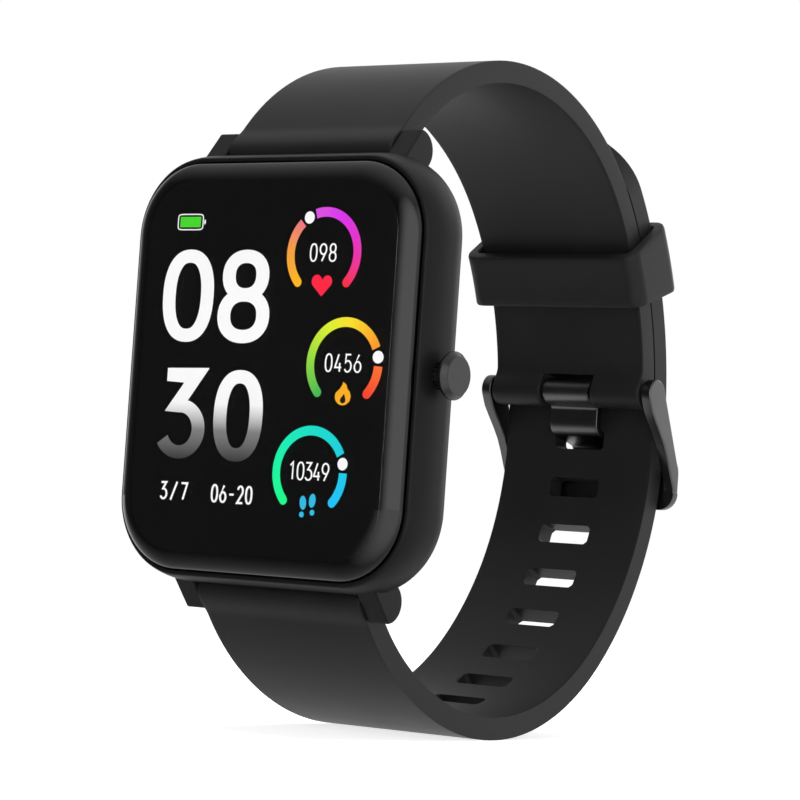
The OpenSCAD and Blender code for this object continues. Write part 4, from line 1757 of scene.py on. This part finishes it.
@dataclass
class ShortStrap(StrapShape):
    """The strap above the case, rolled around the buckle's bar.

    Args:
        roll: Radius of the roll.
        notch: Half width of the notch for the tongue.
        notch_depth: How far the notch reaches past the bar.
        swell: Distance over which the strap swells into the roll.
    """

    roll: float = 1.85
    notch: float = 3.6
    notch_depth: float = 2.1
    swell: float = 2.9

    def bar_place(self) -> Point:
        """Finds the bar beside the path.

        Returns:
            How far along the path it lies, and how far towards the wrist.
        """
        y, z, heading = UPPER_PATH.at(UPPER_PATH.length)
        dy, dz = BAR[0] - y, BAR[1] - z
        along = dy * math.cos(heading) + dz * math.sin(heading)
        inward = dy * math.sin(heading) - dz * math.cos(heading)
        return UPPER_PATH.length + along, inward

    def build(self) -> None:
        """Builds the strap as one piece."""
        self.bar_at, self.bar_in = self.bar_place()
        rows = self.knuckle_rows()
        notch_end = self.bar_at - self.notch_depth
        rows += between([rows[-1], self.bar_at - 4.5, notch_end - 0.5, notch_end], 1.1)[1:]
        rows += [self.bar_at + self.roll * s for s in (-0.85, -0.6, -0.3, 0, 0.3, 0.55, 0.78, 1.0)]
        slab = BentSlab(
            UPPER_PATH, self.columns((self.notch, self.notch + 0.5)), rows, self.half, self.rim, self._skin,
            lambda s: self.half_width(UPPER_PATH, s),
            lambda x, s: abs(x) < self.notch and s > notch_end, self.rim_steps,
        )
        Piece("short_strap", "upper_strap", (SILICONE,), ("upper_strap",), "strap_silicone", 50).build(
            slab.mesh(), [self.bar_bore(UPPER_PATH.start), self.bar_bore(BAR)]
        )

    def _skin(self, distance: float) -> tuple[float, float]:
        """Swells the strap into the roll around the bar.

        Args:
            distance: Distance along the path.

        Returns:
            The inner and outer face offsets.
        """
        thick = self.knuckle_skin(distance)
        past = distance - self.bar_at
        if past <= 0:
            share = ease((past + self.swell) / self.swell)
            return thick + (self.bar_in + self.roll - self.half) * share, thick
        reach = math.sqrt(max(0.02, self.roll**2 - past**2))
        return self.bar_in + reach, reach - self.bar_in


@dataclass
class Keeper:
    """The loop that holds both layers.

    Args:
        start: Distance from the strap's buckle end.
        length: Its length along the strap.
        half_opening: Half width of its opening.
        wall: Its wall.
        inner_gap: From the centre line to its inner wall.
        outer_gap: From the centre line to its outer wall.
        corner: Radius of its outer corners.
        edge: Radius of its outer rims.
        inner_edge: Size of the chamfer on its inner rims.
        cell: Greatest length of a cell of the mesh.
        lean: (shift, lean per millimetre outwards) of its end at the buckle and of its far end.
    """

    start: float = 8.7
    length: float = 7.0
    half_opening: float = 10.7
    wall: float = 1.3
    inner_gap: float = 2.2
    outer_gap: float = 4.2
    corner: float = 1.8
    edge: float = 0.32
    inner_edge: float = 0.15
    cell: float = 0.9
    lean: tuple[Point, Point] = ((0.54, 0.1), (0.55, 0.015))

    def build(self) -> None:
        """Builds the loop as one piece."""
        bm = bmesh.new()
        width = 2 * (self.half_opening + self.wall)
        height = self.inner_gap + self.outer_gap + 2 * self.wall
        stack = RoundedStack(bm, width, height, self.corner, 8)
        high = UPPER_PATH.length - self.start
        low = high - self.length
        e = self.edge
        bend = [(0.0, s) for s in between([low + e, high - e], self.cell)]
        stack.rings([(e, low), (e * 0.3, low + e * 0.3), *bend, (e * 0.3, high - e * 0.3), (e, high)])
        c = self.inner_edge
        inner = [(self.wall, s) for s in between([low + c, high - c], self.cell)][::-1]
        stack.rings([(self.wall - c, high), *inner, (self.wall - c, low)])
        stack.join_ends()
        middle = (self.outer_gap - self.inner_gap) / 2
        for vert in bm.verts:
            off = vert.co.y + middle
            share = (high - vert.co.z) / self.length
            (near, near_lean), (far, far_lean) = self.lean
            back = share * (near + near_lean * off) + (1 - share) * (far + far_lean * off)
            vert.co = (vert.co.x, vert.co.z - back, off)
        UPPER_PATH.bend(bm)
        Piece("keeper", "keeper", (SILICONE,), ("keeper_loop",), "keeper_silicone", 40).build(bm)


# ---- buckle ----


@dataclass
class BuckleFrame:
    """The U-shaped metal frame: two arms and a wide plate between their ends.

    Args:
        width: Outside width.
        arm: Thickness of an arm.
        front: Inner face of the plate.
        back: Outer face of the plate.
        low: Lower edge of the plate.
        high: Upper edge of the plate.
        corner: Radius of the outer corners.
        rim: Radius of the rims.
        pin_bore: Radius of the hole for the bar's tip.
        pin_depth: Depth of that hole.
    """

    width: float = 24.0
    arm: float = 1.3
    front: float = 54.15
    back: float = 55.15
    low: float = -11.3
    high: float = -6.6
    corner: float = 2.0
    rim: float = 0.2
    pin_bore: float = 0.5
    pin_depth: float = 0.85

    def build(self) -> None:
        """Builds the frame as one piece."""
        bm = bmesh.new()
        inner = self.width / 2 - self.arm
        self._arm(bm, inner)
        mirror(bm, "X")
        reach = inner + self.pin_depth
        bore = Cutter(round_bar(*BAR, -reach, reach, self.pin_bore, 20))
        Piece("buckle_frame_steel", "buckle", (BUCKLE,), ("buckle_frame",), "buckle_metal", 32).build(
            bm, [Cutter(self._plate(inner), "UNION"), bore]
        )

    def _arm(self, bm: bmesh.types.BMesh, inner: float) -> None:
        """Draws the right arm.

        Args:
            bm: The mesh to draw in.
            inner: Half of the width between the arms.
        """
        y, z = BAR
        outline = Outline(bm, (y - 1.5, z - 0.8)).arc(BAR, -194.2, 20)
        outline.line((self.back - 0.55, self.high + 1.05), (self.back - 0.15, self.high + 0.35))
        end = self.low + self.corner - 0.35
        outline.line((self.back, self.high - 0.3), (self.back, end), (self.front, end))
        outline.line((self.front, self.high - 2.2))
        outline.line((y + 3.8, z - 8.8), (y + 3.15, z - 7.4), (y + 2.3, z - 5.9), (y + 1.25, z - 4.55))
        outline.line((y + 0.15, z - 3.3), (y - 0.85, z - 2.1))
        thicken(bm, [outline.fill()], self.arm)
        soften(bm, sharp_edges(bm, 60), self.rim)
        turned_sideways(bm, bm.verts)
        bmesh.ops.translate(bm, vec=(inner, 0, 0), verts=bm.verts)

    def _plate(self, inner: float) -> bmesh.types.BMesh:
        """Draws the plate with its rounded lower corners.

        Args:
            inner: Half of the width between the arms.

        Returns:
            The plate.
        """
        bm = bmesh.new()
        half, turn = self.width / 2, self.low + self.corner
        outline = Outline(bm, (inner - 0.2, self.high)).line((-inner + 0.2, self.high))
        outline.line((-inner - 0.2, turn + 0.05), (-half, turn + 0.05), (-half, turn))
        outline.arc((-half + self.corner, turn), 90, 8)
        outline.line((half - self.corner, self.low)).arc((half - self.corner, turn), 90, 8)
        outline.line((half, turn + 0.05), (inner + 0.2, turn + 0.05))
        thicken(bm, [outline.fill()], self.back - self.front)
        soften(bm, sharp_edges(bm, 60), self.rim)
        for vert in bm.verts:
            vert.co = (vert.co.x, self.front + vert.co.z, vert.co.y)
        return bm


@dataclass
class Tongue:
    """The metal strip rolled around the bar, bent out through a slot and down over the crossbar.

    Args:
        width: Its width.
        half: Half of its thickness.
        barrel: Radius of the roll around the bar.
        tip_radius: Corner radius of its tip.
        rim: Radius of the rims.
    """

    width: float = 6.6
    half: float = 0.4
    barrel: float = 1.55
    tip_radius: float = 1.2
    rim: float = 0.12

    def build(self) -> None:
        """Builds the tongue as one piece."""
        self.centre = self.barrel - self.half - 0.04
        start = (BAR[0] + self.centre, BAR[1])
        path = ArcPath(start, -90, ((400, -0.533), (1.1, 75.5), (400, 0.533), (1.2, -75.5), (400, -0.93)), -1)
        self.end = path.length
        rows = [-self.barrel, -1.2, -0.85, -0.45, 0.0, 0.45, 0.85, 1.2, 1.5, 1.7, 1.95]
        rows += between([1.95, 3.72, 5.17, 8.89, 10.47, self.end - self.tip_radius], 0.28)[1:]
        rows += [self.end - self.tip_radius * (1 - math.sin(math.radians(a))) for a in (25, 50, 90)]
        edge = self.width / 2
        slab = BentSlab(
            path, [-edge, -edge + 0.4, -1.2, 1.2, edge - 0.4, edge], rows, self.half, self.rim, self._skin,
            self._half_width,
        )
        Piece("tongue_steel", "tongue", (TONGUE,), ("buckle_tongue",), "buckle_metal", 50).build(
            slab.mesh(), [Cutter(round_bar(*BAR, -5, 5, 0.8))]
        )

    def _skin(self, distance: float) -> tuple[float, float]:
        """Rolls the strip around the bar, with its barrel towards the wrist.

        Args:
            distance: Distance along the path.

        Returns:
            The inner and outer face offsets.
        """
        reach = math.sqrt(max(0.0, self.barrel**2 - distance**2))
        if distance < 0:
            inner = self.centre + reach
            return inner, max(-inner + 0.1, reach - self.centre)
        if distance < self.barrel:
            return self.centre + reach, self.half
        return self.half + (self.centre - self.half) * (1 - ease((distance - self.barrel) / 0.25)), self.half

    def _half_width(self, distance: float) -> float:
        """Rounds the strip off at its tip.

        Args:
            distance: Distance along the path.

        Returns:
            The half width.
        """
        past = distance - (self.end - self.tip_radius)
        if past <= 0:
            return self.width / 2
        return self.width / 2 - self.tip_radius + math.sqrt(max(0.0, self.tip_radius**2 - past**2))


# ---- crown, back and what is carried over ----


@dataclass
class Crown:
    """The turning crown on its ribbed neck.

    Args:
        level: Level of its axis.
        radius: Radius of the head.
        neck: Radius of the neck.
        root: Where the neck starts.
        back: Where the head starts.
        face: Where the head ends.
        ribs: Number of ribs on the neck.
    """

    level: float = 4.85
    radius: float = 2.5
    neck: float = 1.3
    root: float = 19.22
    back: float = 21.2
    face: float = 22.15
    ribs: int = 18

    def build(self) -> None:
        """Builds the crown as one piece."""
        r, n = self.radius, self.neck
        profile = (
            (0, self.root), (n - 0.1, self.root), (n, self.root + 0.1), (n, self.back), (r - 0.2, self.back),
            (r - 0.06, self.back + 0.06), (r, self.back + 0.2), (r, self.face - 0.6),
            (r - 0.03, self.face - 0.53), (r - 0.47, self.face - 0.03), (r - 0.54, self.face), (0, self.face),
        )
        bm = turned(profile)
        for vert in bm.verts:
            vert.co = (vert.co.y, vert.co.x, vert.co.z)
        rib = bmesh.new()
        middle = (self.root + self.back) / 2 + 0.1
        length = self.back - self.root - 0.4
        size = Matrix.Translation((middle, self.neck, 0)) @ Matrix.Diagonal((length, 0.3, 0.2, 1))
        bmesh.ops.create_cube(rib, size=1, matrix=size)
        bmesh.ops.spin(
            rib, geom=everything(rib), cent=(0, 0, 0), axis=(1, 0, 0), angle=math.tau, steps=self.ribs,
            use_duplicate=True,
        )
        for mesh in (bm, rib):
            bmesh.ops.translate(mesh, vec=(0, -self.level, 0), verts=mesh.verts)
        Piece("crown_knob", "crown", (CROWN,), ("crown_head",), "crown_paint", 12).build(
            bm, [Cutter(rib, "UNION")]
        )


@dataclass
class BackCover:
    """The back cover with its sensor window.

    Args:
        width: Its width.
        height: Its height.
        corner: Its corner radius.
        level: Its thickness.
        roll_off: Width of its rounded border.
        window: Radius of the sensor window.
        window_rise: How far its middle stands out of its rim.
        screws: Across and up of the screws.
        contacts: Across and up of the charging contacts.
        window_gap: Gap around the sensor window.
        contact_bore: Radius of a contact's hole.
        screw_head: Radius of the sink for a screw's head.
        sink_depth: Depth of that sink.
        screw_bore: Radius of a screw's hole.
    """

    width: float = 36.6
    height: float = 42.6
    corner: float = 8.0
    level: float = 1.7
    roll_off: float = 2.2
    window: float = 7.0
    window_rise: float = 0.8
    screws: Point = (14.6, 17.6)
    contacts: Point = (2.0, -13.4)
    window_gap: float = 0.05
    contact_bore: float = 1.05
    screw_head: float = 1.35
    sink_depth: float = 0.7
    screw_bore: float = 0.75

    def build(self) -> None:
        """Builds the cover and the window."""
        bm = bmesh.new()
        stack = RoundedStack(bm, self.width, self.height, self.corner, 16)
        rise = self.level - 0.35
        stack.rings([(0.05, self.level), (0, rise)])
        for k in range(1, 9):
            turn = math.radians(90 * k / 8)
            stack.rings([(self.roll_off * (1 - math.cos(turn)), rise * (1 - math.sin(turn)))])
        stack.cap()
        stack.cap_first()
        face_forward(bm)
        under, over = -1, 3
        cuts = [self._hole(0, 0, self.window + self.window_gap, under, over)]
        for x in (-1, 1):
            cuts.append(self._hole(x * self.contacts[0], self.contacts[1], self.contact_bore, under, over))
            for z in (-1, 1):
                place = (x * self.screws[0], z * self.screws[1])
                cuts.append(self._hole(*place, self.screw_head, under, self.sink_depth))
                cuts.append(self._hole(*place, self.screw_bore, 0, over))
        Piece("back_shell", "case", (BACK_BLACK,), ("back_cover",), "back_plastic", 40).build(bm, cuts)
        self._dome()

    def _hole(self, x: float, z: float, radius: float, low: float, high: float) -> Cutter:
        """Makes a round hole between two levels.

        Args:
            x: Across of its middle.
            z: Up of its middle.
            radius: Its radius.
            low: Level where it starts.
            high: Level where it ends.

        Returns:
            The cutter.
        """
        bm = rod(radius, high - low, Matrix.Translation((x, z, (low + high) / 2)), 48)
        face_forward(bm)
        return Cutter(bm)

    def _dome(self) -> None:
        """Builds the domed window."""
        points = [(0.0, 1.55), (self.window, 1.55), (self.window, 0.14)]
        for k in range(1, 13):
            r = self.window * (1 - k / 12)
            points.append((r, 0.1 - self.window_rise * (1 - (r / self.window) ** 2.6)))
        bm = turned(points)
        for vert in bm.verts:
            vert.co = (vert.co.x, -vert.co.y, vert.co.z)
        Piece("window_dome", "case", (WINDOW,), ("sensor_window",), "sensor_window", 35).build(bm)


@dataclass(frozen=True)
class CarriedOver:
    """Finishes of the frame's own nodes that stay as they are."""

    finishes: tuple[tuple[Finish, tuple[str, ...]], ...] = (
        (STEEL, (
            "upper_bar_tube", "upper_bar_pin_left", "upper_bar_pin_right", "upper_bar_spring",
            "lower_bar_tube", "lower_bar_pin_left", "lower_bar_pin_right", "lower_bar_spring",
            "buckle_bar_tube", "buckle_bar_pin_left", "buckle_bar_pin_right", "buckle_bar_spring",
        )),
        (SCREW, ("back_screws",)),
        (GOLD, ("charge_contacts",)),
        (NICKEL, (
            "charge_magnets", "crown_bushing", "crown_clip", "crown_shaft", "side_switch", "vibration_motor",
            "board_shield", "display_frame",
        )),
        (BOARD, ("main_board", "sensor_board")),
        (CHIP, ("board_chips",)),
        (BATTERY, ("battery",)),
        (RUBBER, ("back_seal", "crown_seal", "glass_adhesive")),
        (EMITTER, ("sensor_emitters",)),
        (PANEL, ("display_panel",)),
    )

    def dress(self, nodes: dict[str, bpy.types.Object]) -> None:
        """Gives each node its material.

        Args:
            nodes: The frame's nodes by name.
        """
        for finish, names in self.finishes:
            for name in names:
                mesh = nodes[name].data
                mesh.materials.clear()
                mesh.materials.append(finish.material())
                LOG.info("%s: %s", name, finish.name)


def main() -> None:
    """Builds the whole watch around the frame, piece by piece."""
    logging.basicConfig(level=logging.INFO, format="%(message)s")
    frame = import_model()
    cad_box = [list(corner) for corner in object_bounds()]
    Studio().build(cad_box[0][2] / MM)
    for part in (
        CaseShell(), CoverGlass(), DisplayArt(), BackCover(), Crown(), LongStrap(), ShortStrap(), Keeper(),
        BuckleFrame(), Tongue(),
    ):
        part.build()
    CarriedOver().dress(frame["nodes"])


if __name__ == "__main__":
    main()
